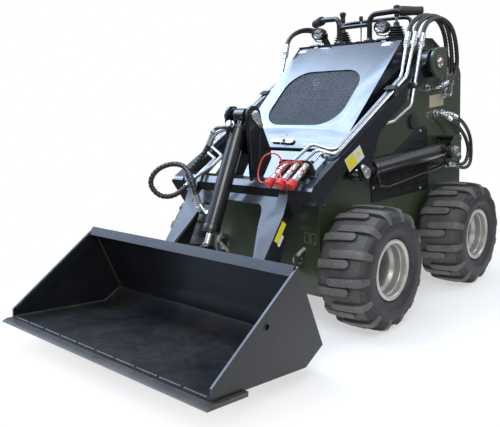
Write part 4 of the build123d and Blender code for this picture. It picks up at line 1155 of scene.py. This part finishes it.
# ------------------------------------------------------------------ wheels
def tyre(name, s, ay):
    g = Geo()
    c = P(s * 418, ay, 231.5)
    ax = Vector((s, 0, 0))
    base = [(-84.4, 102.6), (-84.4, 116), (-93, 121.5), (-98.5, 124.5), (-100, 128), (-99.2, 131), (-103, 140),
            (-106.8, 152), (-107.6, 166), (-106.6, 180), (-103, 190), (-101.8, 193), (-101, 197), (-95, 206), (-80, 213.2),
            (-40, 218), (0, 219.4), (40, 218), (80, 213.2), (95, 206), (101, 197), (101.8, 193), (103, 190),
            (106.6, 180), (107.6, 166), (106.8, 152), (103, 140), (99.2, 131), (100, 128), (98.5, 124.5),
            (93, 121.5), (84.4, 116), (84.4, 102.6)]
    prof = rounded(base, 3.0, 2)
    at = []
    for x, r in prof:
        at.append(0.0 if r < 186 else min(0.55, (r - 186) / 40))
    g.revolve(c, ax, [(x / 1000, r / 1000) for x, r in prof], "tyre", 112, attr=at, closed=True)
    u, w, _ = basis(ax)

    def pt(x, r, a):
        return c + ax * (x / 1000) + (u * math.cos(a) + w * math.sin(a)) * (r / 1000)

    def carcass(x):
        x = abs(x)
        for (x0, r0), (x1, r1) in zip([(0, 219.4), (40, 218), (80, 213.2), (95, 206)], [(40, 218), (80, 213.2), (95, 206), (101, 197)]):
            if x <= x1:
                return r0 + (r1 - r0) * (x - x0) / (x1 - x0)
        return 197
    pitch = 2 * math.pi / 14
    for side in (1, -1):
        for k in range(14):
            a0 = pitch * (k + (0.5 if side < 0 else 0.0)) + (0.11 if ay else 0.0)
            st = []   # x top, r top, x base, r base, half width
            W = 15.4
            for j in range(6):
                f = j / 5
                ph = f * math.pi / 2
                x = -44 + 17 * (1 - math.cos(ph))
                hw = max(1.5, W * math.sin(ph) ** 0.8)
                drop = 3.2 * (1 - math.sin(ph))
                st.append((x, 231.3 - drop, x - 1.5 * (1 - f), carcass(x) - 0.6, hw))
            for x, rt, hw in ((0, 231.5, W), (30, 231.5, W), (52, 230.2, W), (70, 228.3, W + 0.4), (83, 226.0, W + 0.8)):
                st.append((x, rt, x - 1, carcass(x) - 0.6, hw))
            st.append((90, 222.0, 86, 209.0, W + 1.0))
            st.append((97, 212.5, 92, 205.5, W + 1.0))
            st.append((102.5, 203.0, 98, 199.0, W + 0.8))
            st.append((106.2, 192.0, 101, 190.5, W))
            st.append((107.4, 184.0, 104, 183.0, W - 1))
            st.append((107.2, 180.0, 105.5, 179.5, W - 2))
            verts, faces, at = [], [], []
            for x, rt, xb, rb, hw in st:
                skew = side * 0.00075 * (83 - x) * 0.55
                hb = hw + 2.6
                e = 2.4 if hw > 5 else hw * 0.4
                sec = [(-hb, 0.0), (-hw - 0.3, 0.72), (-hw + 0.5, 0.92), (-hw + e, 1.0), (0, 1.01), (hw - e, 1.0), (hw - 0.5, 0.92),
                       (hw + 0.3, 0.72), (hb, 0.0)]
                for off, h in sec:
                    xx, rr = xb + (x - xb) * h, rb + (rt - rb) * h
                    rr = min(rr, 231.5)
                    verts.append(pt(side * xx, rr, a0 + skew + off / 225.0))
                    top = max(0.0, (h - 0.85) / 0.15)
                    at.append(min(1.0, 0.12 + top * (1.0 if x < 95 else 0.55)))
            m_ = 9
            for i in range(len(st) - 1):
                for j in range(m_ - 1):
                    q = [i * m_ + j, i * m_ + j + 1, (i + 1) * m_ + j + 1, (i + 1) * m_ + j]
                    faces.append(q if side > 0 else q[::-1])
            e0, e1 = list(range(m_)), list(range((len(st) - 1) * m_, len(st) * m_))
            faces.append(e0[::-1] if side > 0 else e0)
            faces.append(e1 if side > 0 else e1[::-1])
            g.add(verts, faces, "tyre", at)
            # comb ribs on the shoulder between lugs
            for q in range(9):
                a = a0 + pitch * 0.5 + (q - 4) * 0.0310
                h = 1.0
                v = []
                for x, r in ((82, 212.0), (90, 208.5), (96, 204.4), (100.8, 197.5), (103, 189)):
                    n_ = (0.55, 0.83) if x < 92 else (0.8, 0.6) if x < 98 else (0.95, 0.3)
                    for off, hh in ((-1.7, -0.6), (-0.8, 1.5), (0.8, 1.5), (1.7, -0.6)):
                        v.append(pt(side * (x + n_[0] * hh * h), r + n_[1] * hh * h, a + off / 205))
                f = []
                for i in range(4):
                    for j in range(3):
                        qd = [i * 4 + j, i * 4 + j + 1, (i + 1) * 4 + j + 1, (i + 1) * 4 + j]
                        f.append(qd if side > 0 else qd[::-1])
                f.append([3, 2, 1, 0] if side > 0 else [0, 1, 2, 3])
                f.append([16, 17, 18, 19] if side > 0 else [19, 18, 17, 16])
                g.add(v, f, "tyre", [0.18] * len(v))
    body = name
    return g.make(f"tyre_lugged_{name[6:]}", body, [f"tyre_{name[6:]}"], 38, "dusty")


RIM = [(0, 115), (6, 115), (6, 101.5), (60, 101.5), (70, 88), (110, 88), (122, 101.5), (176, 101.5), (176, 115),
       (182, 115), (184, 108), (182, 97), (124, 96), (112, 82), (66, 82), (58, 96), (30, 90), (24, 60), (24, 39),
       (50, 39), (56, 33), (56, 0), (44, 0), (44, 25), (4, 25), (4, 66), (17, 66), (17, 94), (0, 98)]


def rim(name, s, ay):
    g = Geo()
    o = P(s * 327, ay, 231.5)
    ax = Vector((s, 0, 0))
    # barrel: outer lip, step, drop centre, step
    barrel = [(0.2, 98), (0.2, 114.5), (2, 116), (6, 115.5), (7, 110), (8, 101.5), (60, 101.4), (70, 88), (110, 88),
              (122, 101.4), (174, 101.5), (175.5, 110), (177, 114.8), (181, 115.4), (184.2, 113), (184.8, 109),
              (183.6, 101), (180, 97.4), (160, 96.6), (158, 94.4), (136, 93.8), (130, 92.5), (118, 83.5), (110, 81.5), (68, 81.5),
              (58, 84.5), (50, 90), (42, 92), (30, 92), (16, 94)]
    g.revolve(o, ax, [(t / 1000, r / 1000) for t, r in rounded(barrel, 2.2, 3, True)], "rim", 96, closed=True)
    # disc: dished, with a raised ring round the hub, in the rim's silver darkened as painted shade
    disc = [(30, 92.5), (36, 88), (38, 80), (31, 74), (26, 66), (25, 62), (26.5, 58), (26.5, 44), (29, 41), (33, 39), (50, 38.6),
            (55.5, 35), (57, 30), (57, 0), (45, 0), (45, 25.6), (5, 25.6), (5, 65), (17, 66), (18, 90)]
    g.revolve(o, ax, [(t / 1000, max(0.0, r) / 1000) for t, r in rounded(disc, 1.6, 2)], "rim_painted_shade", 80)
    u, w, _ = basis(ax)
    for k in range(4):
        a = k * math.pi / 2 + 0.5
        e = u * math.cos(a) + w * math.sin(a)
        p = o + ax * 0.0265 + e * 0.050
        g.revolve(p, ax, rounded([(0, 0), (0, 0.0105), (0.003, 0.0105), (0.003, 0)], 0.0005, 1), "zinc", 20)
        g.hexa(p + ax * 0.003, ax, 0.0098, 0.010, "zinc", rng.random())
        g.revolve(p + ax * 0.013, ax, [(0, 0.0062), (0.006, 0.0062), (0.007, 0.005), (0.007, 0)], "zinc", 14)
        # hand hole: a near-black plug painted as the shade seen through the hole
        a2 = a + math.pi / 4
        pts = []
        for i in range(9):
            t = -0.24 + 0.48 * i / 8
            pts.append((79.5, a2 + t))
        for i in range(9):
            t = 0.24 - 0.48 * i / 8
            pts.append((70.5, a2 + t))
        poly = []
        for r, t in pts:
            z = 37.9 if r > 75 else 28.9
            poly.append(o + ax * (z / 1000) + (u * math.cos(t) + w * math.sin(t)) * (r / 1000))
        n_ = len(poly)
        g.add([p + ax * 0.0004 for p in poly] + [p - ax * 0.004 for p in poly],
              [list(range(n_))[::(-1 if s > 0 else -1)]] + [[i, (i + 1) % n_, n_ + (i + 1) % n_, n_ + i] for i in range(n_)]
              + [list(range(n_, 2 * n_))], "dark")
    # hub cap, also in the darkened painted-shade grey
    g.revolve(o + ax * 0.0568, ax, rounded([(0, 0), (0, 0.024), (0.004, 0.023), (0.007, 0.017), (0.008, 0)], 0.001, 2), "rim_painted_shade", 36)
    # valve stem
    a = 2.2
    e = u * math.cos(a) + w * math.sin(a)
    p = o + ax * 0.062 + e * 0.086
    d = (ax * 0.9 - e * 0.45).normalized()
    g.revolve(p, d, rounded([(0, 0), (0, 0.0075), (0.006, 0.0065), (0.009, 0.0042), (0.026, 0.0038), (0.026, 0.0048), (0.036, 0.0048), (0.037, 0.003), (0.037, 0)],
                            0.0006, 1), "rubber", 18)
    return g.make(f"rim_formed_{name[6:]}", name, [f"rim_{name[6:]}"], 30)


for wname, s, ay in (("wheel_front_left", 1, 0.0), ("wheel_front_right", -1, 0.0),
                     ("wheel_rear_left", 1, 731.0), ("wheel_rear_right", -1, 731.0)):
    tyre(wname, s, ay)
    rim(wname, s, ay)


# ------------------------------------------------------------------ bucket details
def bucket_details():
    g = Geo()
    bt, bc, fr, ff, ml = (-574.0, 379.0), (-465.0, 104.0), (-551.0, 59.0), (-937.0, 102.0), (-934.0, 138.0)
    for s in (1, -1):
        xi = s * 527
        # corner welds inside
        def inn(a, b, d):
            ux, uz = b[0] - a[0], b[1] - a[1]
            L = math.hypot(ux, uz)
            return (-uz / L * d, ux / L * d)
        for a, b in ((bt, bc), (bc, fr), (fr, ff)):
            n_ = inn(a, b, 6.5)
            # inside is towards the mouth
            mid = ((a[0] + b[0]) / 2, (a[1] + b[1]) / 2)
            if (n_[0] * (-700 - mid[0]) + n_[1] * (250 - mid[1])) < 0:
                n_ = (-n_[0], -n_[1])
            g.bead(P(xi - s * 1.5, a[0] + n_[0], a[1] + n_[1]), P(xi - s * 1.5, b[0] + n_[0], b[1] + n_[1]), 0.0042)
        # doubler strip inside the side plate along its front edge
        d = Vector((bt[0] - ml[0], bt[1] - ml[1]))
        L = d.length
        d /= L
        n2 = Vector((d.y, -d.x))
        if n2.y > 0:
            n2 = -n2
        o = [Vector(ml) + d * 6 + n2 * 4, Vector(bt) - d * 14 + n2 * 4, Vector(bt) - d * 14 + n2 * 44, Vector(ml) + d * 40 + n2 * 60,
             Vector(ml) + d * 6 + n2 * 24]
        o = [Vector(ml) + d * 10 + n2 * 3, Vector(bt) - d * 30 + n2 * 3, Vector(bt) - d * 44 + n2 * 52, Vector(ml) + d * 60 + n2 * 52,
             Vector(ml) + d * 14 + n2 * 26]
        g.prism([P(xi, p.x, p.y) for p in o], (-s * 0.004, 0, 0), "bucket", 0.001, 1)
        # round bushing at the side hole
        g.revolve(P(s * 535, -718, 238), (s, 0, 0), rounded([(0, 0.009), (0, 0.0125), (0.0015, 0.0125), (0.0015, 0.009)], 0.0004, 1),
                  "bucket", 28, closed=True)
    # weld along the cutting edge's rear on the floor, and across the wall's bends
    fd = Vector((ff[0] - fr[0], ff[1] - fr[1])).normalized()
    up = Vector((fd.y, -fd.x))
    if up.y < 0:
        up = -up
    a = Vector(ff) + fd * 0 + up * 6.6
    for x0 in range(-520, 520, 104):
        g.bead(P(x0 + 6, a.x + 4, a.y), P(x0 + 98, a.x + 4, a.y), 0.0026, "weld", 0.004)
    dn = -up
    a = Vector(ff) - fd * 121 + dn * 2
    g.bead(P(-548, a.x, a.y), P(548, a.x, a.y), 0.0035)
    g.make("bucket_welds", "bucket")


bucket_details()


# ------------------------------------------------------------------ boom details
def boom_details():
    for sname, s in (("left", 1), ("right", -1)):
        g = Geo()
        # boss welds, leg pins and keepers
        g.revolve(P(s * 365, 568, 998), (s, 0, 0), rounded([(0, 0.0202), (0, 0.040), (0.006, 0.040), (0.008, 0.036), (0.008, 0.0202)],
                                                          0.001, 2), "black", 48, closed=True)
        for x, d in ((264, 1), (218, -1)):
            g.revolve(P(s * x, -426, 209), (s * d, 0, 0), rounded([(0, 0.0165), (0, 0.026), (0.0022, 0.026), (0.0022, 0.0165)], 0.0006, 1),
                      "black", 40, closed=True)
        # weld runs along the leg and the beam
        g.bead(P(s * 265.5, -283, 549), P(s * 265.5, -238, 549), 0.003)
        g.bead(P(s * 311, -262, 500), P(s * 311, -40, 629), 0.0026)
        g.bead(P(s * 307, -256, 573), P(s * 307, -200, 573), 0.003)
        # grease nipples
        for y, z in ((-426, 243), ):
            g.revolve(P(s * 241, y + 22, z + 14), (0, 0.8, 0.6), [(0, 0.005), (0.003, 0.005), (0.004, 0.003), (0.008, 0.0026), (0.009, 0)], "zinc", 12)
        g.make(f"boom_welds_{sname}", "loader_arms")
    # blank safety-label fields
    g = Geo()
    x = 365.25
    q = [(-93, 640), (5, 687), (37, 640), (-62, 593)]

    def lerp(a, b, t):
        return (a[0] + (b[0] - a[0]) * t, a[1] + (b[1] - a[1]) * t)
    for s in (1, -1):
        g.prism([P(s * x, y, z) for y, z in (q[0], q[1], q[2], q[3])], (s * 0.0004, 0, 0), "white", 0)
        a, b, c, d = q[0], lerp(q[0], q[1], 0.52), lerp(q[3], q[2], 0.52), q[3]
        a, d = lerp(a, b, 0.06), lerp(d, c, 0.06)
        a2, d2 = lerp(a, d, 0.06), lerp(a, d, 0.94)
        b2, c2 = lerp(b, c, 0.06), lerp(b, c, 0.94)
        g.prism([P(s * (x + 0.42), y, z) for y, z in (a2, b2, c2, d2)], (s * 0.0003, 0, 0), "yellow", 0)
        tri = [lerp(lerp(q[0], q[1], 0.60), lerp(q[3], q[2], 0.60), 0.62), lerp(lerp(q[0], q[1], 0.93), lerp(q[3], q[2], 0.93), 0.62),
               lerp(lerp(q[0], q[1], 0.765), lerp(q[3], q[2], 0.765), 0.14)]
        g.prism([P(s * (x + 0.42), y, z) for y, z in tri], (s * 0.0003, 0, 0), "yellow", 0)
        # near leg: yellow strip over white
        L0, L1 = Vector((-322, 466)), Vector((-441, 313))
        dd = (L1 - L0).normalized()
        nn = Vector((dd.y, -dd.x))
        if nn.x < 0:
            nn = -nn
        def lp(t, h):
            p = L0 + dd * t + nn * h
            return P(s * 264.25, p.x, p.y)
        g.prism([lp(20, 8), lp(98, 8), lp(98, 32), lp(20, 32)], (s * 0.0004, 0, 0), "yellow", 0)
        g.prism([lp(62, 33), lp(104, 33), lp(104, 46), lp(62, 46)], (s * 0.0004, 0, 0), "white", 0)
    g.make("blank_labels", "loader_arms")


boom_details()


# ------------------------------------------------------------------ chassis details
def chassis_details():
    g = Geo()
    # blank plate on the tower side
    for s in (1, -1):
        o = [(679, 803), (817, 812), (817, 868), (679, 858)] if s > 0 else [(690, 806), (800, 812), (800, 862), (690, 856)]
        g.prism([P(s * 295.2, y, z) for y, z in o], (s * 0.0008, 0, 0), "beige", 0.0002, 1)
        for y, z in ((684, 808), (812, 817), (812, 862), (684, 852)):
            if s > 0:
                g.revolve(P(s * 296, y, z), (s, 0, 0), [(0, 0.003), (0.0008, 0.0028), (0.0014, 0.0015), (0.0014, 0)], "zinc", 12)
    # two outline squares on the front plate
    for x0 in (223, 254):
        for a, b in (((x0, 331), (x0 + 25, 333)), ((x0, 367), (x0 + 25, 369)), ((x0, 331), (x0 + 2, 369)), ((x0 + 23, 331), (x0 + 25, 369))):
            g.prism([P(a[0], -160.2, a[1]), P(b[0], -160.2, a[1]), P(b[0], -160.2, b[1]), P(a[0], -160.2, b[1])], (0, -0.0003, 0), "palegreen", 0)
    g.make("blank_plates", "chassis")

    g = Geo()
    # bolts on the front and side plates
    for s in (1, -1):
        for y, z in ((-130, 470), (-130, 250), (120, 420), (120, 250), (700, 420), (960, 930), (960, 700), (960, 500), (960, 300),
                     (-60, 555), (480, 1062), (700, 1080)):
            g.bolt(P(s * 295.1, y, z), (s, 0, 0), 0.0042, "green", dome=True)
        for z in (480, 330):
            g.bolt(P(s * 272, -160.1, z), (0, -1, 0), 0.004, "green", dome=True)
        # S-bent tie hooks beside the lugs
        pts = resample(spline("hook", [P(s * 223, -161, 306), P(s * 223, -178, 302), P(s * 215, -192, 286), P(s * 198, -188, 274),
                                       P(s * 187, -180, 260), P(s * 187, -172, 248), P(s * 190, -161, 243)]), 0.004)[0]
        g.sweep(pts, 0.0068, "hook", 14)
        pts = resample(spline("hook2", [P(s * 230, 1001, 372), P(s * 230, 1022, 376), P(s * 230, 1030, 352), P(s * 230, 1024, 322),
                                        P(s * 230, 1001, 318)]), 0.004)[0]
        g.sweep(pts, 0.0055, "green", 14)
    # fold seam between front plate and deck
    g.sweep([P(-289, -160, 520.5), P(289, -160, 520.5)], 0.0016, "green", 8)
    # rear access panel with louvres and two latches
    out = rounded([(-210, 470), (210, 470), (210, 900), (-210, 900)], 22, 4, True)
    g.prism([P(x, 1000.2, z) for x, z in out], (0, 0.003, 0), "green", 0.001, 2)
    for i in range(9):
        z = 560 + i * 26
        for x0, x1 in ((-170, -12), (12, 170)):
            vs = []
            for xx in (x0, x0 + 9, x1 - 9, x1):
                k = 0.0 if xx in (x0, x1) else 1.0
                vs += [P(xx, 1003.2, z + 11), P(xx, 1003.2 + 4 * k, z + 5), P(xx, 1003.2 + 7 * k, z - 1), P(xx, 1003.2, z - 2)]
            f = [[a * 4 + b, (a + 1) * 4 + b, (a + 1) * 4 + b + 1, a * 4 + b + 1][::-1] for a in range(3) for b in range(3)]
            g.add(vs, f, "green")
            # painted shadow under each louvre: a thin near-black sheet
            g.prism([P(x0 + 5, 1003.2, z - 2.5), P(x1 - 5, 1003.2, z - 2.5), P(x1 - 7, 1003.2, z - 8), P(x0 + 7, 1003.2, z - 8)],
                    (0, 0.0005, 0), "dark", 0)
    for x in (-170, 170):
        g.revolve(P(x, 1003.2, 860), (0, 1, 0), rounded([(0, 0), (0, 0.018), (0.003, 0.018), (0.004, 0.012), (0.009, 0.011), (0.009, 0)], 0.0008, 2),
                  "rubber", 28)
    for x in (-198, 198):
        for z in (484, 685, 886):
            g.bolt(P(x, 1003.2, z), (0, 1, 0), 0.0036, "zinc", dome=True)
    g.make("chassis_hardware", "chassis")

    # engine: finned block, shroud, air cleaner, silencer, all inside the plain block's box
    g = Geo()
    g.rbox(P(-150, 200, 242), P(150, 560, 430), "cast", 0.012, 3)
    for i in range(16):
        y = 215 + i * 21
        g.rbox(P(-168, y, 430), P(-20, y + 6, 560), "cast", 0.002, 1)
        g.rbox(P(20, y, 430), P(168, y + 6, 560), "cast", 0.002, 1)
    for x in (-94, 94):
        g.revolve(P(x, 216, 495), (0, 1, 0), rounded([(0, 0), (0, 0.052), (0.33, 0.052), (0.33, 0)], 0.004, 2), "cast", 40)
    g.revolve(P(0, 598, 440), (0, -1, 0), rounded([(0, 0), (0, 0.06), (0.006, 0.13), (0.034, 0.15), (0.046, 0.15), (0.05, 0.12), (0.05, 0)], 0.006, 3),
              "motor", 56)
    for k in range(10):
        t = k * 0.628
        g.prism([P(0, 592, 440) + Vector((math.cos(t + d) * r, 0, math.sin(t + d) * r)) for r, d in ((0.04, 0), (0.11, 0.05), (0.11, 0.3), (0.04, 0.25))],
                (0, 0.003, 0), "cast", 0.0005, 1)
    g.revolve(P(-60, 380, 566), (0, 0, 1), rounded([(0, 0), (0, 0.085), (0.014, 0.088), (0.06, 0.086), (0.07, 0.078), (0.072, 0)], 0.005, 3),
              "motor", 56)
    g.revolve(P(120, 230, 600), (0, 1, 0), rounded([(0, 0), (0, 0.030), (0.008, 0.036), (0.27, 0.036), (0.28, 0.030), (0.28, 0)], 0.003, 2),
              "lever", 40)
    for x in (-130, 130):
        for y in (230, 530):
            g.rbox(P(x - 22, y - 22, 240), P(x + 22, y + 22, 252), "motor", 0.003, 2)
            g.bolt(P(x, y, 252), (0, 0, 1), 0.005, "zinc")
    g.make("engine_assembly", "chassis", ["engine_block"])

    # platform: raised treads and rubber edging
    g = Geo()
    for i in range(23):
        for j in range(12):
            x = -236 + i * 21.4
            y = 1052 + j * 23.2
            a = 0.785 if (i + j) % 2 else -0.785
            d = Vector((math.cos(a), math.sin(a), 0)) * 0.0085
            w = Vector((-math.sin(a), math.cos(a), 0)) * 0.0026
            c = P(x, y, 174)
            if abs(x) > 236 or y > 1318:
                continue
            top = Vector((0, 0, 0.0018))
            g.add([c - d, c - d * 0.4 - w, c + d * 0.4 - w, c + d, c + d * 0.4 + w, c - d * 0.4 + w,
                   c - d * 0.6 + top, c - d * 0.25 - w * 0.5 + top, c + d * 0.25 - w * 0.5 + top, c + d * 0.6 + top,
                   c + d * 0.25 + w * 0.5 + top, c - d * 0.25 + w * 0.5 + top],
                  [[6, 7, 8, 9, 10, 11]] + [[k, (k + 1) % 6, 6 + (k + 1) % 6, 6 + k] for k in range(6)], "tread")
    g.sweep([P(-246, 1326.5, 175), P(246, 1326.5, 175)], 0.0014, "tread", 8)
    for x in (-213, 187):
        for k in (-14, 40):
            g.revolve(P(x + k, 1022, 196), (-1 if k < 0 else 1, 0, 0), rounded([(0, 0), (0, 0.011), (0.003, 0.011), (0.004, 0.008), (0.004, 0)], 0.0006, 1),
                      "zinc", 24)
    g.make("platform_treads", "stand_platform")


chassis_details()


# ------------------------------------------------------------------ cylinders' small parts
def filleted(route, radii, n=8):
    """Polyline with an arc of the given radius at each inner corner."""
    route = [Vector(p) for p in route]
    pts = [route[0]]
    for i, r in enumerate(radii):
        a, b, c = route[i:i + 3]
        u, w = (a - b).normalized(), (c - b).normalized()
        half = u.angle(w) / 2
        mid = b + (u + w).normalized() * (r / math.sin(half))
        p0, p1 = b + u * (r / math.tan(half)) - mid, b + w * (r / math.tan(half)) - mid
        pts += [mid + p0.slerp(p1, k / n) * 1.0 for k in range(n + 1)]
    return pts + [route[-1]]


def cylinder_details():
    for sname, s in (("left", 1), ("right", -1)):
        cx = s * 337.5
        B, R = Vector((731, 610)), Vector((42, 579))
        u = (R - B).normalized()
        d = Vector((0, u.x, u.y))

        def on(t, s_=s, cx=cx):
            return P(cx, 731, 610) + d * t / 1000
        g = Geo()
        g.revolve(on(586), d, rounded([(0, 0.030), (0, 0.0345), (0.022, 0.0345), (0.026, 0.031), (0.026, 0.0162)], 0.0012, 2), "cyl", 48)
        g.revolve(on(604), d, [(0, 0.0165), (0.0, 0.024), (0.010, 0.023), (0.012, 0.0165)], "rubber", 36)
        g.revolve(on(30), d, rounded([(0, 0.031), (0.002, 0.0338), (0.008, 0.0338), (0.010, 0.031)], 0.001, 2), "weld", 48)
        g.make(f"lift_cylinder_trim_{sname}", f"lift_barrel_{sname}")
        g = Geo()
        E = P(cx, 42, 579)
        g.revolve(E - d * 0.040, d, rounded([(0, 0.0162), (0, 0.020), (0.016, 0.022), (0.016, 0.0162)], 0.001, 2), "cyl", 36)
        g.make(f"lift_rod_trim_{sname}", f"lift_rod_{sname}")
    B, R = Vector((-235, 807)), Vector((-460, 322))
    u = (R - B).normalized()
    d = Vector((0, u.x, u.y))
    o = P(0, -235, 807)
    g = Geo()
    g.revolve(o + d * 0.432, d, rounded([(0, 0.029), (0, 0.0335), (0.022, 0.0335), (0.026, 0.030), (0.026, 0.0142)], 0.0012, 2), "cyl", 48)
    g.revolve(o + d * 0.455, d, [(0, 0.0145), (0, 0.020), (0.005, 0.019), (0.007, 0.0145)], "rubber", 36)
    g.revolve(o + d * 0.048, d, rounded([(0, 0.030), (0.002, 0.0328), (0.008, 0.0328), (0.010, 0.030)], 0.001, 2), "weld", 48)
    # plated elbows on the two ports
    g.sweep([P(*p) for p in filleted([(-9.4, -304, 765), (-10, -311, 768), (-71.7, -309.5, 763.9), (-92, -316, 724)], [6, 18])],
            0.0075, "zinc", 20)
    g.sweep([P(*p) for p in filleted([(-44, -403.1, 454.3), (-72, -406, 456), (-79.6, -410.9, 496.6)], [16])],
            0.0075, "zinc", 20)
    g.make("tilt_cylinder_trim", "tilt_barrel")
    g = Geo()
    E = P(0, -460, 322)
    g.revolve(E - d * 0.034, d, rounded([(0, 0.0142), (0, 0.019), (0.012, 0.021), (0.012, 0.0142)], 0.001, 2), "cyl", 36)
    g.make("tilt_rod_trim", "tilt_rod")


cylinder_details()

# ------------------------------------------------------------------ CAD nodes that stay: materials and edges
FINISH = {
    "side_panel_left": "green", "side_panel_right": "green", "chassis_pan": "green", "front_deck": "green",
    "console_panel": "navy", "pin_brackets": "green", "wheel_motors": "motor", "tie_down_lugs": "green",
    "handlebars": "black", "loader_arm_left": "arm", "loader_arm_right": "arm", "boom_front": "black",
    "tilt_bracket": "black", "arm_tubes_left": "zinc", "arm_tubes_right": "zinc", "bucket": "bucket",
    "cutting_edge": "blade", "quick_attach_plate": "black", "lock_levers": "lever", "tilt_barrel": "cyl",
    "tilt_rod": "chrome", "lift_barrel_left": "cyl", "lift_barrel_right": "cyl", "lift_rod_left": "chrome",
    "lift_rod_right": "chrome", "hood": "navy", "stand_platform": "black",
}
BEVEL = {"bucket": 0.0012, "cutting_edge": 0.0012, "hood": 0.0016, "arm_tubes_left": 0.0, "arm_tubes_right": 0.0,
         "handlebars": 0.0, "lock_levers": 0.0009, "tie_down_lugs": 0.0016}
for name, key in FINISH.items():
    ob = NODES[name]
    ob.data.materials.clear()
    ob.data.materials.append(M[key])
    w = BEVEL.get(name, 0.0011)
    if w:
        m = ob.modifiers.new("join", "WELD")
        m.merge_threshold = 0.00002
        m = ob.modifiers.new("edge", "BEVEL")
        m.width, m.segments, m.limit_method = w, 2, "ANGLE"
        m.angle_limit = math.radians(38)
        m.use_clamp_overlap = True
        m.miter_outer = "MITER_ARC"
        m.harden_normals = False
        m = ob.modifiers.new("shade", "WEIGHTED_NORMAL")
        m.keep_sharp, m.weight = False, 70

# ------------------------------------------------------------------ stage and light
def stage():
    m, nt, b = new_mat("floor_pale")
    L = nt.links.new
    vec = coords(nt)
    L(mix_col(nt, noise(nt, vec, 0.8, 3), (0.86, 0.86, 0.865), (0.90, 0.90, 0.90)), b.inputs["Base Color"])
    b.inputs["Roughness"].default_value = 0.8
    b.inputs["Specular IOR Level"].default_value = 0.1
    # the floor runs out into the same white as the backdrop
    far = node(nt, "ShaderNodeEmission")
    far.inputs["Color"].default_value = (1, 1, 1, 1)
    dist = nt.nodes.new("ShaderNodeVectorMath")
    dist.operation = "LENGTH"
    L(vec, dist.inputs[0])
    fade = nt.nodes.new("ShaderNodeMapRange")
    fade.interpolation_type = "SMOOTHSTEP"
    for k, v in (("From Min", 0.55), ("From Max", 1.55), ("To Min", 0.50), ("To Max", 1.0)):
        fade.inputs[k].default_value = v
    L(dist.outputs["Value"], fade.inputs["Value"])
    mx = nt.nodes.new("ShaderNodeMixShader")
    L(fade.outputs["Result"], mx.inputs[0])
    L(b.outputs[0], mx.inputs[1])
    L(far.outputs[0], mx.inputs[2])
    out = [n_ for n_ in nt.nodes if n_.type == "OUTPUT_MATERIAL"][0]
    L(mx.outputs[0], out.inputs["Surface"])
    me = bpy.data.meshes.new("floor")
    n = 96
    vs = [(0, 0, -0.0004)] + [(2.0 * math.cos(2 * math.pi * i / n), 2.0 * math.sin(2 * math.pi * i / n), -0.0004) for i in range(n)]
    me.from_pydata(vs, [], [[0, i + 1, (i + 1) % n + 1] for i in range(n)])
    me.materials.append(m)
    ob = bpy.data.objects.new("floor", me)
    scene.collection.objects.link(ob)

    # backdrop: white where it is seen, a sky with one bright cloud bank where it is mirrored
    w = bpy.data.worlds.new("studio")
    scene.world = w
    w.use_nodes = True
    nt = w.node_tree
    L = nt.links.new
    bg = nt.nodes["Background"]
    tc = nt.nodes.new("ShaderNodeTexCoord")
    sep = nt.nodes.new("ShaderNodeSeparateXYZ")
    L(tc.outputs["Generated"], sep.inputs[0])
    sky = ramp(nt, sep.outputs["Z"], [(0.0, (0.13, 0.135, 0.145)), (0.10, (0.20, 0.21, 0.23)), (0.32, (0.50, 0.54, 0.60)), (1.0, (0.62, 0.74, 0.92))])
    dot = nt.nodes.new("ShaderNodeVectorMath")
    dot.operation = "DOT_PRODUCT"
    L(tc.outputs["Generated"], dot.inputs[0])
    dot.inputs[1].default_value = Vector((-0.64, -0.12, 0.76)).normalized()
    lump = ramp(nt, dot.outputs["Value"], [(0.80, 0.0), (0.93, 0.55), (0.985, 1.0)])
    side = nt.nodes.new("ShaderNodeMapRange")
    side.interpolation_type = "SMOOTHSTEP"
    for k, v in (("From Min", 0.05), ("From Max", 0.16), ("To Min", 1.0), ("To Max", 0.05)):
        side.inputs[k].default_value = v
    L(sep.outputs["Y"], side.inputs["Value"])
    cloud = ramp(nt, noise(nt, tc.outputs["Generated"], 9.5, 5, 0.6, 0.6), [(0.36, 0.30), (0.58, 1.0)])
    k1 = math_node(nt, "MULTIPLY", lump, side.outputs["Result"])
    k1 = math_node(nt, "MULTIPLY", k1, cloud)
    glow = nt.nodes.new("ShaderNodeVectorMath")
    glow.operation = "SCALE"
    glow.inputs[0].default_value = (6.6, 8.6, 12.0)
    L(k1, glow.inputs["Scale"])
    add = nt.nodes.new("ShaderNodeVectorMath")
    add.operation = "ADD"
    L(sky, add.inputs[0])
    L(glow.outputs[0], add.inputs[1])
    L(add.outputs[0], bg.inputs["Color"])
    bg.inputs["Strength"].default_value = 1.0
    seen = nt.nodes.new("ShaderNodeBackground")
    seen.inputs["Color"].default_value = (1, 1, 1, 1)
    lp = nt.nodes.new("ShaderNodeLightPath")
    mx = nt.nodes.new("ShaderNodeMixShader")
    L(lp.outputs["Is Camera Ray"], mx.inputs[0])
    L(bg.outputs[0], mx.inputs[1])
    L(seen.outputs[0], mx.inputs[2])
    L(mx.outputs[0], nt.nodes["World Output"].inputs["Surface"])

    def area(name, loc, aim, size, power, color=(1, 1, 1)):
        l = bpy.data.lights.new(name, "AREA")
        l.shape, l.size, l.size_y, l.energy, l.color = "RECTANGLE", size[0], size[1], power, color
        o = bpy.data.objects.new(name, l)
        o.location = loc
        o.rotation_mode = "QUATERNION"
        o.rotation_quaternion = (Vector(aim) - Vector(loc)).to_track_quat("-Z", "Y")
        scene.collection.objects.link(o)
    area("key", (2.6, -3.6, 3.6), (0, -0.2, 0.5), (2.4, 2.4), 118, (1.0, 0.985, 0.96))
    area("rim_light", (3.2, 3.0, 2.8), (0, 0.3, 0.6), (2.0, 2.0), 45, (1, 1, 1))
    area("top_light", (-0.6, -1.2, 4.6), (0, -0.2, 0.3), (2.6, 2.6), 60, (0.95, 0.98, 1.0))


stage()
scene.view_settings.view_transform = "Standard"
scene.view_settings.look = "None"
scene.view_settings.exposure = 0.0
